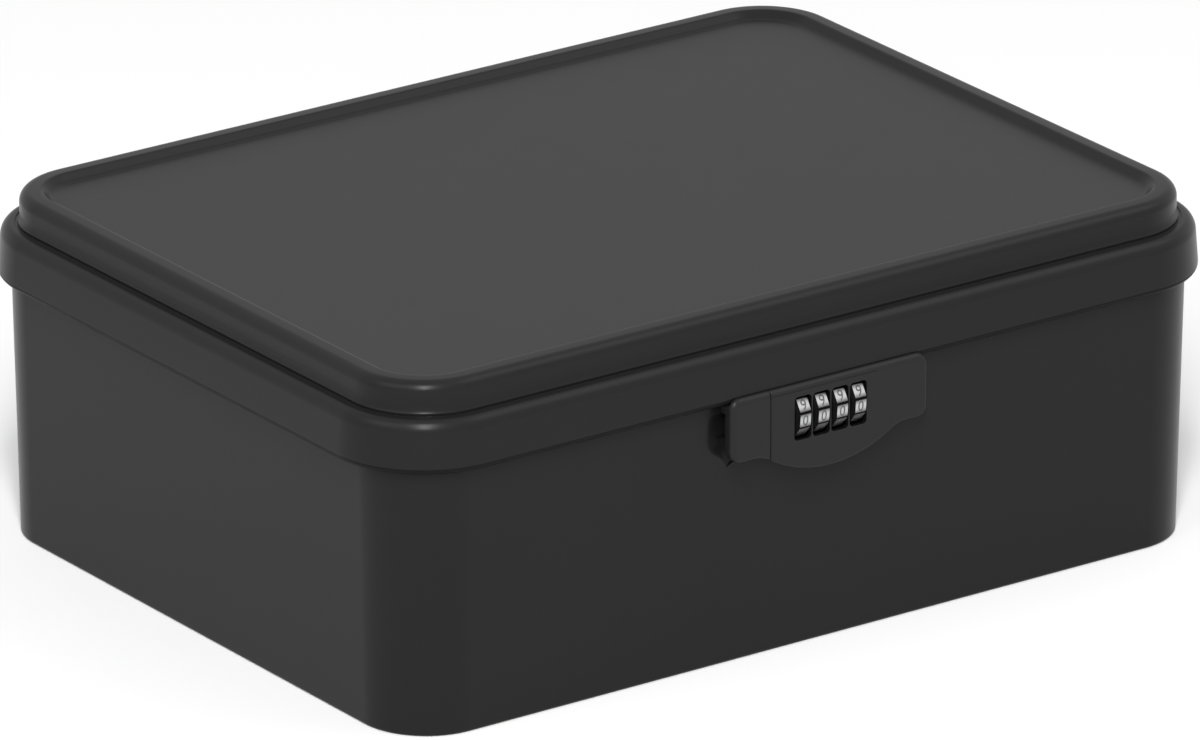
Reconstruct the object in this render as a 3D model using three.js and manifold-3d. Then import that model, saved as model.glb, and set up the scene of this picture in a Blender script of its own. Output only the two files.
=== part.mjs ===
import * as THREE from 'three';
import { mergeVertices } from 'three/addons/utils/BufferGeometryUtils.js';
import Module from 'manifold-3d';

// A lockable plastic box: a drafted tub, a hinged lid with a raised tier, and a four-dial slide lock.
// Millimetres, +Z up, the origin on the ground under the middle of the box, the lock on the -Y side.

// Lid outline and profile
const LID_LENGTH = 300;
const LID_WIDTH = 226;
const LID_CORNER = 30.3;
const LID_WALL = 2.2;
const SKIRT_HEIGHT = 16.0;
const SKIRT_DRAFT = 1.27;
const SKIRT_EDGE = 1.8;
const SHOULDER_REACH = 3.0;
const SHOULDER_DROP = 3.9;
const GROOVE_INSET = 5.3;
const GROOVE_WIDTH = 0.8;
const GROOVE_DEPTH = 0.9;
const FLARE_LIFT = 0.6;
const FLARE_HEIGHT = 2.0;
const TIER_INSET = 6.7;
const TIER_HEIGHT = 9.75;
const TIER_RADIUS = 3.3;
const RIM_WIDTH = 3.5;
const RECESS_DEPTH = 2.2;
const RECESS_SLOPE = 2.4;
const LID_SEAT_GAP = 0.3;

// Tub
const TUB_HEIGHT = 95.0;
const TUB_CORNER = 23.3;
const TUB_DRAFT = 0.0195;
const TUB_WALL = 2.4;
const TUB_FLOOR = 3.0;
const TUB_EDGE = 0.9;
const OVERHANG_ENDS = 5.5;
const OVERHANG_SIDES = 4.1;
const NECK_HEIGHT = 9.8;
const NECK_STEP = 0.9;
const FOOT_BAND = 13;
const FOOT_RECESS = 0.8;

// Hinges on the back
const HINGE_SPREAD = 80;
const HINGE_DROP = 3.5;
const BARREL_RADIUS = 2.8;
const HINGE_PIN_RADIUS = 1.5;
const KNUCKLE_LENGTH = 17;
const LUG_LENGTH = 8;
const LUG_FOOT_DROP = 10;

// Lock plate and release slider on the front
const PLATE_RIGHT = 34.5;
const PLATE_PROUD = 1.9;
const PLATE_HEIGHT = 19.4;
const PLATE_LIP = 1.9;
const PLATE_CORNER = 3.2;
const PLATE_SKIN = 1.6;
const PLATE_BLANK = 9;
const PLATE_EDGE = 0.9;
const LOBE_RADIUS = 41.7;
const LOBE_DEPTH = 7.75;
const LOBE_FILLET = 2.6;
const SLIDER_LENGTH = 13.65;
const SLIDER_THICKNESS = 3.4;
const SLIDER_TRAVEL = 3.0;
const STEM_LENGTH = 8.4;
const STEM_HEIGHT = 8;
const STEM_DROP = 6.4;
const STEM_INSET = 0.6;
const POCKET_HEAD = 1.4;
const POCKET_TAIL = 8.5;
const POCKET_TAPER = 6.3;
const POCKET_CORNER = 1.2;

// Dials
const DIAL_COUNT = 4;
const DIAL_PITCH = 6.56;
const DIAL_WIDTH = 5.3;
const DIAL_RADIUS = 7.6;
const DIAL_PROUD = 0.9;
const DIAL_DROP = 10.3;
const DIAL_NUMBERS = 10;
const DIAL_VALLEY = 0.45;
const DIAL_FLAT_SHARE = 0.84;
const SLOT_WIDTH = 6.0;
const SLOT_HEIGHT = 13.4;
const SLOT_CORNER = 1.2;
const SLEEVE_RADIUS = 4.2;
const KEY_WIDTH = 1.4;
const KEY_HEIGHT = 0.9;
const SPINDLE_RADIUS = 1.6;

// Lock housing behind the front wall
const HOUSING_DEPTH = 9.4;
const HOUSING_WALL = 1.5;
const HOUSING_FLANGE = 1.8;
const FLANGE_MARGIN = 5;
const HOUSING_STANDOFF = 0.8;
const HOUSING_RISE = 1.5;
const HOUSING_HEIGHT = 23;
const EAR_THICKNESS = 1.6;
const EAR_REACH = 2.3;
const EAR_HALF_HEIGHT = 3.2;
const LEAF_THICKNESS = 0.5;
const LEAF_FINGER_WIDTH = 4.2;
const LEAF_FOOT_HEIGHT = 3;
const RESET_TRAVEL = 2.5;
const RESET_POCKET_WIDTH = 8.6;
const RESET_POCKET_HEIGHT = 12;
const RESET_KNOB = 2.6;
const RESET_KNOB_REACH = 2.2;
const RESET_PAD = 5.4;
const RESET_PAD_THICKNESS = 1.2;

// Bolt and striker
const BOLT_THICKNESS = 2.0;
const BOLT_PIN = 2.3;
const STRIKER_THICKNESS = 1.5;
const STRIKER_TONGUE_WIDTH = 6.4;
const STRIKER_NOTCH_DEPTH = 3.2;
const STRIKER_FOOT_WIDTH = 24;
const STRIKER_FOOT_DEPTH = 9;
const STRIKER_SCREW_SPREAD = 16;
const STRIKER_LAYER_GAP = 0.8;
const STRIKER_SLOT_GAP = 0.9;
const BOSS_RADIUS = 3.0;

// Screws and the gaps left between pieces
const SCREW_RADIUS = 1.1;
const SCREW_HEAD_RADIUS = 2.1;
const SCREW_HEAD_HEIGHT = 1.5;
const LOCK_SCREW_LENGTH = 7.6;
const STRIKER_SCREW_LENGTH = 5.2;
const SLIDER_SCREW_LENGTH = 5.6;
const LOCK_SCREW_SPREAD = 12;
const LOCK_SCREW_MARGIN = 1.33;
const GAP = 0.3;

// Facets on corners and round pieces
const CORNER_STEPS = 8;
const ROUND_STEPS = 20;

// Levels and places worked out from the sizes above
const SHOULDER_Z = TUB_HEIGHT + LID_SEAT_GAP + LID_WALL;
const SKIRT_Z = SHOULDER_Z - SKIRT_HEIGHT;
const LID_TOP_Z = SHOULDER_Z + TIER_HEIGHT;
const PANEL_Z = LID_TOP_Z - RECESS_DEPTH;
const SKIRT_BACK_Y = LID_WIDTH / 2;
const HINGE_Y = SKIRT_BACK_Y;
const HINGE_Z = SKIRT_Z - HINGE_DROP;
const HINGE_HOLE_RADIUS = HINGE_PIN_RADIUS + GAP;

const PLATE_Y = -LID_WIDTH / 2 - PLATE_PROUD;
const PLATE_TOP = SKIRT_Z + PLATE_LIP;
const PLATE_BOTTOM = PLATE_TOP - PLATE_HEIGHT;
const DIAL_Z = PLATE_TOP - DIAL_DROP;
const DIAL_Y = PLATE_Y - DIAL_PROUD + DIAL_RADIUS;
const DIAL_ROW = DIAL_PITCH * (DIAL_COUNT - 1) + DIAL_WIDTH;
const BAY_HALF_HEIGHT = DIAL_RADIUS + 2 * GAP;
const BAY_HALF_WIDTH = DIAL_ROW / 2 + 2 * GAP;
const EAR_OUTER = BAY_HALF_WIDTH + GAP + EAR_THICKNESS;
const CUT_OUT_HALF_WIDTH = EAR_OUTER + 2 * GAP;

const SCREW_HOLE_RADIUS = SCREW_RADIUS + GAP;
const LOCK_SCREW_LEFT = -CUT_OUT_HALF_WIDTH - SCREW_HOLE_RADIUS - LOCK_SCREW_MARGIN;
const LOCK_SCREW_RIGHT = PLATE_RIGHT - PLATE_CORNER - SCREW_HOLE_RADIUS - GAP;
const PLATE_LEFT = LOCK_SCREW_LEFT - SCREW_HOLE_RADIUS - LOCK_SCREW_MARGIN;
const SLIDER_RIGHT = PLATE_LEFT - GAP;
const SLIDER_LEFT = SLIDER_RIGHT - SLIDER_LENGTH;
const SLIDER_BACK_Y = PLATE_Y + SLIDER_THICKNESS;
const STEM_LEFT = SLIDER_LEFT + STEM_INSET;
const STEM_RIGHT = STEM_LEFT + STEM_LENGTH;
const STEM_TOP = PLATE_TOP - STEM_DROP;
const STEM_BOTTOM = STEM_TOP - STEM_HEIGHT;
const STEM_Z = (STEM_TOP + STEM_BOTTOM) / 2;
const STEM_X = (STEM_LEFT + STEM_RIGHT) / 2;

const HOUSING_TOP = SKIRT_Z + HOUSING_RISE;
const HOUSING_BOTTOM = HOUSING_TOP - HOUSING_HEIGHT;
const HOUSING_FRONT_Y = wallFront(SKIRT_Z) + TUB_WALL + HOUSING_STANDOFF;
const HOUSING_BACK_Y = HOUSING_FRONT_Y + HOUSING_DEPTH;
const BAY_BACK_Y = HOUSING_BACK_Y - HOUSING_WALL;
const FLANGE_BACK_Y = HOUSING_FRONT_Y + HOUSING_FLANGE;
const BOLT_FRONT_Y = HOUSING_FRONT_Y + GAP;
const BOLT_BACK_Y = BOLT_FRONT_Y + BOLT_THICKNESS;
const TONGUE_FRONT_Y = BOLT_BACK_Y + STRIKER_LAYER_GAP;
const TONGUE_BACK_Y = TONGUE_FRONT_Y + STRIKER_THICKNESS;
const BOLT_RIGHT = STEM_RIGHT + BOLT_PIN - 2 * GAP;
const PIN_LEFT = BOLT_RIGHT - BOLT_PIN;
const TONGUE_RIGHT = PIN_LEFT - GAP;
const TONGUE_LEFT = TONGUE_RIGHT - STRIKER_TONGUE_WIDTH;
const BOLT_BAY_LEFT = STEM_LEFT - BOLT_PIN - SLIDER_TRAVEL;
const BOLT_BAY_RIGHT = BOLT_RIGHT + 3 * GAP;
const RESET_BAY_LEFT = EAR_OUTER + HOUSING_WALL;
const RESET_BAY_RIGHT = RESET_BAY_LEFT + RESET_POCKET_WIDTH;

const wasm = await Module();
wasm.setup();

/** The y of the tub's outer front face at a height. */
function wallFront(z) {
  return -(LID_WIDTH / 2 - OVERHANG_SIDES - TUB_DRAFT * (SKIRT_Z - z));
}

/** Turns a closed three.js geometry into a solid for joining and cutting. */
function solid(geometry) {
  const bare = geometry.clone();
  bare.deleteAttribute('normal');
  bare.deleteAttribute('uv');
  const merged = mergeVertices(bare, 1e-5);
  const vertProperties = new Float32Array(merged.attributes.position.array);
  const triVerts = new Uint32Array(merged.index.array);
  const mesh = new wasm.Mesh({ numProp: 3, vertProperties, triVerts });
  mesh.merge();
  return new wasm.Manifold(mesh);
}

/** Turns a solid back into a three.js geometry. */
function surface(body) {
  const mesh = body.getMesh();
  const geometry = new THREE.BufferGeometry();
  geometry.setAttribute('position', new THREE.BufferAttribute(mesh.vertProperties, 3));
  geometry.setIndex(new THREE.BufferAttribute(mesh.triVerts, 1));
  return geometry;
}

/** Joins the first list of geometries and cuts the second list from them. */
function shape(joined, cuts = []) {
  const whole = joined.map(solid).reduce((sum, piece) => sum.add(piece));
  return surface(cuts.map(solid).reduce((rest, piece) => rest.subtract(piece), whole));
}

/** A ring of points round a rectangle with round corners. */
function roundedRing(halfLength, halfWidth, radius, z) {
  const ring = [];
  const corners = [[1, 1], [-1, 1], [-1, -1], [1, -1]];
  corners.forEach(([signX, signY], quarter) => {
    for (let step = 0; step <= CORNER_STEPS; step++) {
      const angle = (quarter + step / CORNER_STEPS) * Math.PI / 2;
      const x = signX * (halfLength - radius) + radius * Math.cos(angle);
      const y = signY * (halfWidth - radius) + radius * Math.sin(angle);
      ring.push([x, y, z]);
    }
  });
  return ring;
}

/** A closed skin through rings of equal count, with a flat face on the first and on the last. */
function loft(rings) {
  const count = rings[0].length;
  const points = rings.flat();
  const faces = [];
  for (let level = 0; level + 1 < rings.length; level++) {
    for (let k = 0; k < count; k++) {
      const next = (k + 1) % count;
      const low = level * count;
      const high = low + count;
      faces.push(low + k, low + next, high + next, low + k, high + next, high + k);
    }
  }
  const last = (rings.length - 1) * count;
  const under = points.push([0, 0, rings[0][0][2]]) - 1;
  const over = points.push([0, 0, rings[rings.length - 1][0][2]]) - 1;
  for (let k = 0; k < count; k++) {
    const next = (k + 1) % count;
    faces.push(under, next, k, over, last + k, last + next);
  }
  const geometry = new THREE.BufferGeometry();
  geometry.setAttribute('position', new THREE.Float32BufferAttribute(points.flat(), 3));
  geometry.setIndex(faces);
  return geometry;
}

/** A box between two corners. */
function block(x0, x1, y0, y1, z0, z1) {
  const geometry = new THREE.BoxGeometry(x1 - x0, y1 - y0, z1 - z0);
  return geometry.translate((x0 + x1) / 2, (y0 + y1) / 2, (z0 + z1) / 2);
}

/** A round bar along X, centred on y and z. */
function barX(radius, x0, x1, y, z) {
  const geometry = new THREE.CylinderGeometry(radius, radius, x1 - x0, ROUND_STEPS);
  return geometry.rotateZ(Math.PI / 2).translate((x0 + x1) / 2, y, z);
}

/** A round bar along Y, centred on x and z. */
function barY(radius, y0, y1, x, z, frontRadius = radius) {
  const geometry = new THREE.CylinderGeometry(radius, frontRadius, y1 - y0, ROUND_STEPS);
  return geometry.translate(x, (y0 + y1) / 2, z);
}

/** A round bar along Z, centred on x and y. */
function barZ(radius, z0, z1, x, y) {
  const geometry = new THREE.CylinderGeometry(radius, radius, z1 - z0, ROUND_STEPS);
  return geometry.rotateX(Math.PI / 2).translate(x, y, (z0 + z1) / 2);
}

/** The points of a path without the ones that fall on the point before them. */
function clearPoints(path) {
  const points = path.getPoints(CORNER_STEPS);
  return points.filter((point, k) => point.distanceTo(points.at(k - 1)) > 1e-4);
}

/** An outline and its holes as straight lines between points that all differ. */
function clearOutline(outline) {
  const straight = new THREE.Shape(clearPoints(outline));
  straight.holes = outline.holes.map((hole) => new THREE.Path(clearPoints(hole)));
  return straight;
}

/** A flat outline in x and z, thick from y0 to y1. */
function slabY(outline, y0, y1, bevel = 0) {
  const geometry = new THREE.ExtrudeGeometry(clearOutline(outline), {
    depth: y1 - y0 - 2 * bevel,
    bevelEnabled: bevel > 0,
    bevelThickness: bevel,
    bevelSize: bevel,
    bevelOffset: -bevel,
    bevelSegments: 2,
  });
  return geometry.rotateX(Math.PI / 2).translate(0, y1 - bevel, 0);
}

/** A flat outline in y and z, long from x0 to x1. */
function slabX(outline, x0, x1) {
  const options = { depth: x1 - x0, bevelEnabled: false };
  const geometry = new THREE.ExtrudeGeometry(clearOutline(outline), options);
  const turn = new THREE.Matrix4().makeBasis(
    new THREE.Vector3(0, 1, 0),
    new THREE.Vector3(0, 0, 1),
    new THREE.Vector3(1, 0, 0),
  );
  return geometry.applyMatrix4(turn).translate(x0, 0, 0);
}

/** A rectangle with round corners as a flat outline. */
function roundedOutline(u0, u1, v0, v1, radius) {
  const outline = new THREE.Shape();
  outline.moveTo(u0 + radius, v0);
  outline.lineTo(u1 - radius, v0);
  outline.absarc(u1 - radius, v0 + radius, radius, -Math.PI / 2, 0);
  outline.absarc(u1 - radius, v1 - radius, radius, 0, Math.PI / 2);
  outline.absarc(u0 + radius, v1 - radius, radius, Math.PI / 2, Math.PI);
  outline.absarc(u0 + radius, v0 + radius, radius, Math.PI, 1.5 * Math.PI);
  return outline;
}

/** A ring of the tub, set in from its outer face at that height. */
function tubRing(inset, z) {
  const away = inset + TUB_DRAFT * (SKIRT_Z - z);
  const halfLength = LID_LENGTH / 2 - OVERHANG_ENDS - away;
  const halfWidth = LID_WIDTH / 2 - OVERHANG_SIDES - away;
  return roundedRing(halfLength, halfWidth, TUB_CORNER - away, z);
}

/** The tub's wall, floor, foot band and the narrower neck inside the lid's skirt. */
function tubShell() {
  const neckZ = TUB_HEIGHT - NECK_HEIGHT;
  return loft([
    tubRing(FOOT_BAND + FOOT_RECESS, FOOT_RECESS),
    tubRing(FOOT_BAND, 0),
    tubRing(TUB_EDGE, 0),
    tubRing(0.3 * TUB_EDGE, 0.3 * TUB_EDGE),
    tubRing(0, TUB_EDGE),
    tubRing(0, neckZ - NECK_STEP),
    tubRing(NECK_STEP, neckZ),
    tubRing(NECK_STEP, TUB_HEIGHT),
    tubRing(TUB_WALL, TUB_HEIGHT),
    tubRing(TUB_WALL, TUB_FLOOR + TUB_WALL),
    tubRing(TUB_WALL * 1.3, TUB_FLOOR + TUB_WALL * 0.3),
    tubRing(TUB_WALL * 2, TUB_FLOOR),
  ]);
}

/** A hinge lug: a barrel on a gusset that grows out of the tub's back wall. */
function hingeLug(x0, x1) {
  const root = -wallFront(HINGE_Z) - TUB_WALL / 2;
  const outline = new THREE.Shape();
  outline.moveTo(root, HINGE_Z + BARREL_RADIUS);
  outline.lineTo(root, HINGE_Z - BARREL_RADIUS - LUG_FOOT_DROP);
  outline.lineTo(HINGE_Y + BARREL_RADIUS * Math.cos(-0.6), HINGE_Z + BARREL_RADIUS * Math.sin(-0.6));
  outline.absarc(HINGE_Y, HINGE_Z, BARREL_RADIUS, -0.6, Math.PI / 2);
  return slabX(outline, x0, x1);
}

/** The opening in the front wall that the slider's stem moves in: a pocket with a tapered tail. */
function pocketOutline() {
  const left = STEM_LEFT - SLIDER_TRAVEL - GAP;
  const right = STEM_RIGHT + GAP;
  const top = STEM_TOP + POCKET_HEAD;
  const bottom = STEM_BOTTOM - POCKET_TAIL;
  const outline = new THREE.Shape();
  outline.moveTo(left + POCKET_CORNER, top);
  outline.absarc(left + POCKET_CORNER, top - POCKET_CORNER, POCKET_CORNER, Math.PI / 2, Math.PI);
  outline.lineTo(left, STEM_BOTTOM - GAP);
  outline.quadraticCurveTo(left + GAP, STEM_BOTTOM - POCKET_TAIL / 2, left + POCKET_TAPER, bottom);
  outline.lineTo(right, bottom);
  outline.lineTo(right, top);
  return outline;
}

/** Where the lock's four long screws stand, as x and z. */
function lockScrewPlaces() {
  const places = [];
  for (const x of [LOCK_SCREW_LEFT, LOCK_SCREW_RIGHT]) {
    for (const side of [-1, 1]) {
      places.push([x, DIAL_Z + side * LOCK_SCREW_SPREAD / 2]);
    }
  }
  return places;
}

function tub() {
  const joined = [tubShell()];
  const cuts = [];
  const lugStart = KNUCKLE_LENGTH / 2 + GAP;
  for (const side of [-1, 1]) {
    const middle = side * HINGE_SPREAD;
    joined.push(hingeLug(middle - lugStart - LUG_LENGTH, middle - lugStart));
    joined.push(hingeLug(middle + lugStart, middle + lugStart + LUG_LENGTH));
    const reach = lugStart + LUG_LENGTH + 1;
    cuts.push(barX(HINGE_HOLE_RADIUS, middle - reach, middle + reach, HINGE_Y, HINGE_Z));
  }
  const outside = wallFront(SKIRT_Z) - 1;
  const inside = HOUSING_FRONT_Y + 1;
  cuts.push(slabY(pocketOutline(), outside, inside));
  cuts.push(block(-CUT_OUT_HALF_WIDTH, CUT_OUT_HALF_WIDTH, outside, inside,
    DIAL_Z - BAY_HALF_HEIGHT, DIAL_Z + BAY_HALF_HEIGHT));
  for (const [x, z] of lockScrewPlaces()) {
    cuts.push(barY(SCREW_HOLE_RADIUS, outside, inside, x, z));
  }
  return shape(joined, cuts);
}

/** A ring of the lid, set in from the skirt's outline. */
function lidRing(inset, z) {
  const radius = LID_CORNER - inset;
  return roundedRing(LID_LENGTH / 2 - inset, LID_WIDTH / 2 - inset, radius, z);
}

/** Rings round a quarter turn from an upright wall into a level face. */
function lidFillet(inset, z, reach, rise, steps) {
  const rings = [];
  for (let step = 1; step <= steps; step++) {
    const angle = step / steps * Math.PI / 2;
    rings.push(lidRing(inset + reach * (1 - Math.cos(angle)), z + rise * Math.sin(angle)));
  }
  return rings;
}

/** Rings of the hollow flare at the tier's foot, from its lower edge up into the upright wall. */
function tierFlare(inset, z, reach, rise, steps) {
  const rings = [];
  for (let step = 0; step <= steps; step++) {
    const angle = step / steps * Math.PI / 2;
    rings.push(lidRing(inset + reach * Math.sin(angle), z + rise * (1 - Math.cos(angle))));
  }
  return rings;
}

/** The lid's skin, from the ceiling down the inside and up the outside to the sunk top panel. */
function lidShell() {
  const tierRoof = TIER_INSET + TIER_RADIUS;
  const sunk = tierRoof + RIM_WIDTH + RECESS_SLOPE;
  const grooveEnd = GROOVE_INSET + GROOVE_WIDTH;
  return loft([
    lidRing(sunk + LID_WALL / 2, PANEL_Z - LID_WALL),
    lidRing(sunk - RECESS_SLOPE, LID_TOP_Z - LID_WALL),
    lidRing(tierRoof, LID_TOP_Z - LID_WALL),
    lidRing(TIER_INSET + LID_WALL, LID_TOP_Z - TIER_RADIUS),
    lidRing(TIER_INSET + LID_WALL, SHOULDER_Z - LID_WALL),
    lidRing(SKIRT_DRAFT + LID_WALL, SHOULDER_Z - LID_WALL),
    lidRing(LID_WALL, SKIRT_Z),
    lidRing(SKIRT_EDGE, SKIRT_Z),
    lidRing(0.3 * SKIRT_EDGE, SKIRT_Z + 0.3 * SKIRT_EDGE),
    lidRing(0, SKIRT_Z + SKIRT_EDGE),
    lidRing(SKIRT_DRAFT, SHOULDER_Z - SHOULDER_DROP),
    ...lidFillet(SKIRT_DRAFT, SHOULDER_Z - SHOULDER_DROP, SHOULDER_REACH, SHOULDER_DROP, 4),
    lidRing(GROOVE_INSET, SHOULDER_Z),
    lidRing(GROOVE_INSET, SHOULDER_Z - GROOVE_DEPTH),
    lidRing(grooveEnd, SHOULDER_Z - GROOVE_DEPTH),
    ...tierFlare(grooveEnd, SHOULDER_Z + FLARE_LIFT, TIER_INSET - grooveEnd, FLARE_HEIGHT, 3),
    lidRing(TIER_INSET, LID_TOP_Z - TIER_RADIUS),
    ...lidFillet(TIER_INSET, LID_TOP_Z - TIER_RADIUS, TIER_RADIUS, TIER_RADIUS, 5),
    lidRing(sunk - RECESS_SLOPE, LID_TOP_Z),
    lidRing(sunk - 0.8 * RECESS_SLOPE, LID_TOP_Z - 0.1 * RECESS_DEPTH),
    lidRing(sunk - 0.2 * RECESS_SLOPE, PANEL_Z + 0.1 * RECESS_DEPTH),
    lidRing(sunk, PANEL_Z),
  ]);
}

/** A lid knuckle: a barrel with an arm that runs up into the back of the skirt. */
function lidKnuckle(x0, x1) {
  const inner = SKIRT_BACK_Y - LID_WALL;
  const outline = new THREE.Shape();
  outline.moveTo(SKIRT_BACK_Y - SKIRT_DRAFT, SHOULDER_Z - SKIRT_HEIGHT / 2);
  outline.lineTo(inner, SHOULDER_Z - SKIRT_HEIGHT / 2);
  outline.absarc(HINGE_Y, HINGE_Z, BARREL_RADIUS, Math.PI, 2.2 * Math.PI);
  return slabX(outline, x0, x1);
}

/** The screws under the striker's foot stand on these x places. */
function strikerScrewX() {
  const middle = (TONGUE_LEFT + TONGUE_RIGHT) / 2;
  return [middle - STRIKER_SCREW_SPREAD / 2, middle + STRIKER_SCREW_SPREAD / 2];
}

const STRIKER_SCREW_Y = TONGUE_BACK_Y + SCREW_HEAD_RADIUS + 2 * GAP;
const STRIKER_FOOT_Z = TUB_HEIGHT + 2 * GAP;
const STRIKER_FOOT_TOP = STRIKER_FOOT_Z + STRIKER_THICKNESS;
const BOSS_BOTTOM = STRIKER_FOOT_TOP + GAP;
const CEILING_Z = PANEL_Z - LID_WALL;

function lid() {
  const joined = [lidShell()];
  const cuts = [];
  for (const side of [-1, 1]) {
    const middle = side * HINGE_SPREAD;
    joined.push(lidKnuckle(middle - KNUCKLE_LENGTH / 2, middle + KNUCKLE_LENGTH / 2));
    cuts.push(barX(HINGE_HOLE_RADIUS, middle - KNUCKLE_LENGTH, middle + KNUCKLE_LENGTH, HINGE_Y, HINGE_Z));
  }
  for (const x of strikerScrewX()) {
    joined.push(barZ(BOSS_RADIUS, BOSS_BOTTOM, CEILING_Z + LID_WALL / 2, x, STRIKER_SCREW_Y));
    cuts.push(barZ(SCREW_HOLE_RADIUS, BOSS_BOTTOM - 1, CEILING_Z, x, STRIKER_SCREW_Y));
  }
  return shape(joined, cuts);
}

function hingePin() {
  const length = KNUCKLE_LENGTH + 2 * (GAP + LUG_LENGTH);
  const geometry = new THREE.CylinderGeometry(HINGE_PIN_RADIUS, HINGE_PIN_RADIUS, length, ROUND_STEPS);
  return geometry.rotateZ(Math.PI / 2);
}

/** The outline of the plate and the slider together: round corners, and a bow along the bottom. */
function faceOutline() {
  const r = PLATE_CORNER;
  const bowZ = PLATE_BOTTOM - LOBE_DEPTH + LOBE_RADIUS;
  const bowHalf = Math.sqrt(LOBE_RADIUS ** 2 - (bowZ - PLATE_BOTTOM) ** 2);
  const bowAngle = Math.asin((bowHalf - LOBE_FILLET) / LOBE_RADIUS);
  const bowEndZ = bowZ - LOBE_RADIUS * Math.cos(bowAngle);
  const outline = new THREE.Shape();
  outline.moveTo(PLATE_RIGHT - r, PLATE_TOP);
  outline.lineTo(SLIDER_LEFT + r, PLATE_TOP);
  outline.absarc(SLIDER_LEFT + r, PLATE_TOP - r, r, Math.PI / 2, Math.PI);
  outline.absarc(SLIDER_LEFT + r, PLATE_BOTTOM + r, r, Math.PI, 1.5 * Math.PI);
  outline.lineTo(-bowHalf - LOBE_FILLET, PLATE_BOTTOM);
  outline.quadraticCurveTo(-bowHalf, PLATE_BOTTOM, -bowHalf + LOBE_FILLET, bowEndZ);
  outline.absarc(0, bowZ, LOBE_RADIUS, -Math.PI / 2 - bowAngle, -Math.PI / 2 + bowAngle);
  outline.quadraticCurveTo(bowHalf, PLATE_BOTTOM, bowHalf + LOBE_FILLET, PLATE_BOTTOM);
  outline.lineTo(PLATE_RIGHT - r, PLATE_BOTTOM);
  outline.absarc(PLATE_RIGHT - r, PLATE_BOTTOM + r, r, -Math.PI / 2, 0);
  outline.absarc(PLATE_RIGHT - r, PLATE_TOP - r, r, 0, Math.PI / 2);
  return outline;
}

/** The space on one side of an upright plane across the lock's face. */
function faceSide(x0, x1) {
  return block(x0, x1, PLATE_Y - 1, 0, PLATE_BOTTOM - LOBE_DEPTH - 1, PLATE_TOP + 1);
}

/** The space in front of the drafted wall that the plate's back has to stay out of. */
function wallBacking() {
  const low = PLATE_BOTTOM - LOBE_DEPTH - 1;
  const high = PLATE_TOP + 1;
  const outline = new THREE.Shape();
  outline.moveTo(wallFront(low) - GAP, low);
  outline.lineTo(0, low);
  outline.lineTo(0, high);
  outline.lineTo(wallFront(high) - GAP, high);
  return slabX(outline, -LID_LENGTH / 2, LID_LENGTH / 2);
}

/** The space under and behind the skirt that the lip along the plate's top has to stay out of. */
function skirtBacking() {
  const behind = -LID_WIDTH / 2 - GAP;
  return block(-LID_LENGTH / 2, LID_LENGTH / 2, behind, 0, SKIRT_Z - GAP, PLATE_TOP + 1);
}

/** The x of a dial's middle. */
function dialX(index) {
  return (index - (DIAL_COUNT - 1) / 2) * DIAL_PITCH;
}

function lockPlate() {
  const cuts = [faceSide(SLIDER_LEFT - 1, PLATE_LEFT), wallBacking(), skirtBacking()];
  const skinBack = PLATE_Y + PLATE_SKIN;
  cuts.push(block(-CUT_OUT_HALF_WIDTH, CUT_OUT_HALF_WIDTH, skinBack, 0,
    DIAL_Z - BAY_HALF_HEIGHT, DIAL_Z + BAY_HALF_HEIGHT));
  for (let index = 0; index < DIAL_COUNT; index++) {
    const left = dialX(index) - SLOT_WIDTH / 2;
    const slot = roundedOutline(left, left + SLOT_WIDTH,
      DIAL_Z - SLOT_HEIGHT / 2, DIAL_Z + SLOT_HEIGHT / 2, SLOT_CORNER);
    cuts.push(slabY(slot, PLATE_Y - 1, skinBack + 1));
  }
  for (const [x, z] of lockScrewPlaces()) {
    cuts.push(barY(SCREW_HOLE_RADIUS, PLATE_Y + PLATE_SKIN, 0, x, z));
  }
  return shape([slabY(faceOutline(), PLATE_Y, PLATE_Y + PLATE_BLANK, PLATE_EDGE)], cuts);
}

function releaseSlider() {
  const button = shape(
    [slabY(faceOutline(), PLATE_Y, SLIDER_BACK_Y, PLATE_EDGE)],
    [faceSide(SLIDER_RIGHT, PLATE_RIGHT + 1), skirtBacking()],
  );
  const stem = block(STEM_LEFT, STEM_RIGHT, SLIDER_BACK_Y - 1, BOLT_FRONT_Y - GAP, STEM_BOTTOM, STEM_TOP);
  const end = BOLT_BACK_Y - SLIDER_SCREW_LENGTH - GAP;
  return shape([button, stem], [barY(SCREW_HOLE_RADIUS, end, 0, STEM_X, STEM_Z)]);
}

/** The bolt: a flat bar on the back of the stem, with a square pin that enters the striker's notch. */
function lockBolt() {
  const bar = block(STEM_LEFT, BOLT_RIGHT, BOLT_FRONT_Y, BOLT_BACK_Y, STEM_BOTTOM, STEM_TOP);
  const pin = block(PIN_LEFT, BOLT_RIGHT, BOLT_BACK_Y - 1, TONGUE_BACK_Y + 2 * GAP,
    STEM_Z - BOLT_PIN / 2, STEM_Z + BOLT_PIN / 2);
  const sink = SCREW_HEAD_RADIUS + GAP;
  const seat = barY(sink, BOLT_FRONT_Y + GAP, BOLT_BACK_Y, STEM_X, STEM_Z, SCREW_HOLE_RADIUS);
  const hole = barY(SCREW_HOLE_RADIUS, BOLT_FRONT_Y - 1, BOLT_BACK_Y, STEM_X, STEM_Z);
  const mouth = barY(sink, BOLT_BACK_Y - GAP / 2, BOLT_BACK_Y + 1, STEM_X, STEM_Z);
  return shape([bar, pin], [seat, hole, mouth]);
}

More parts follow.
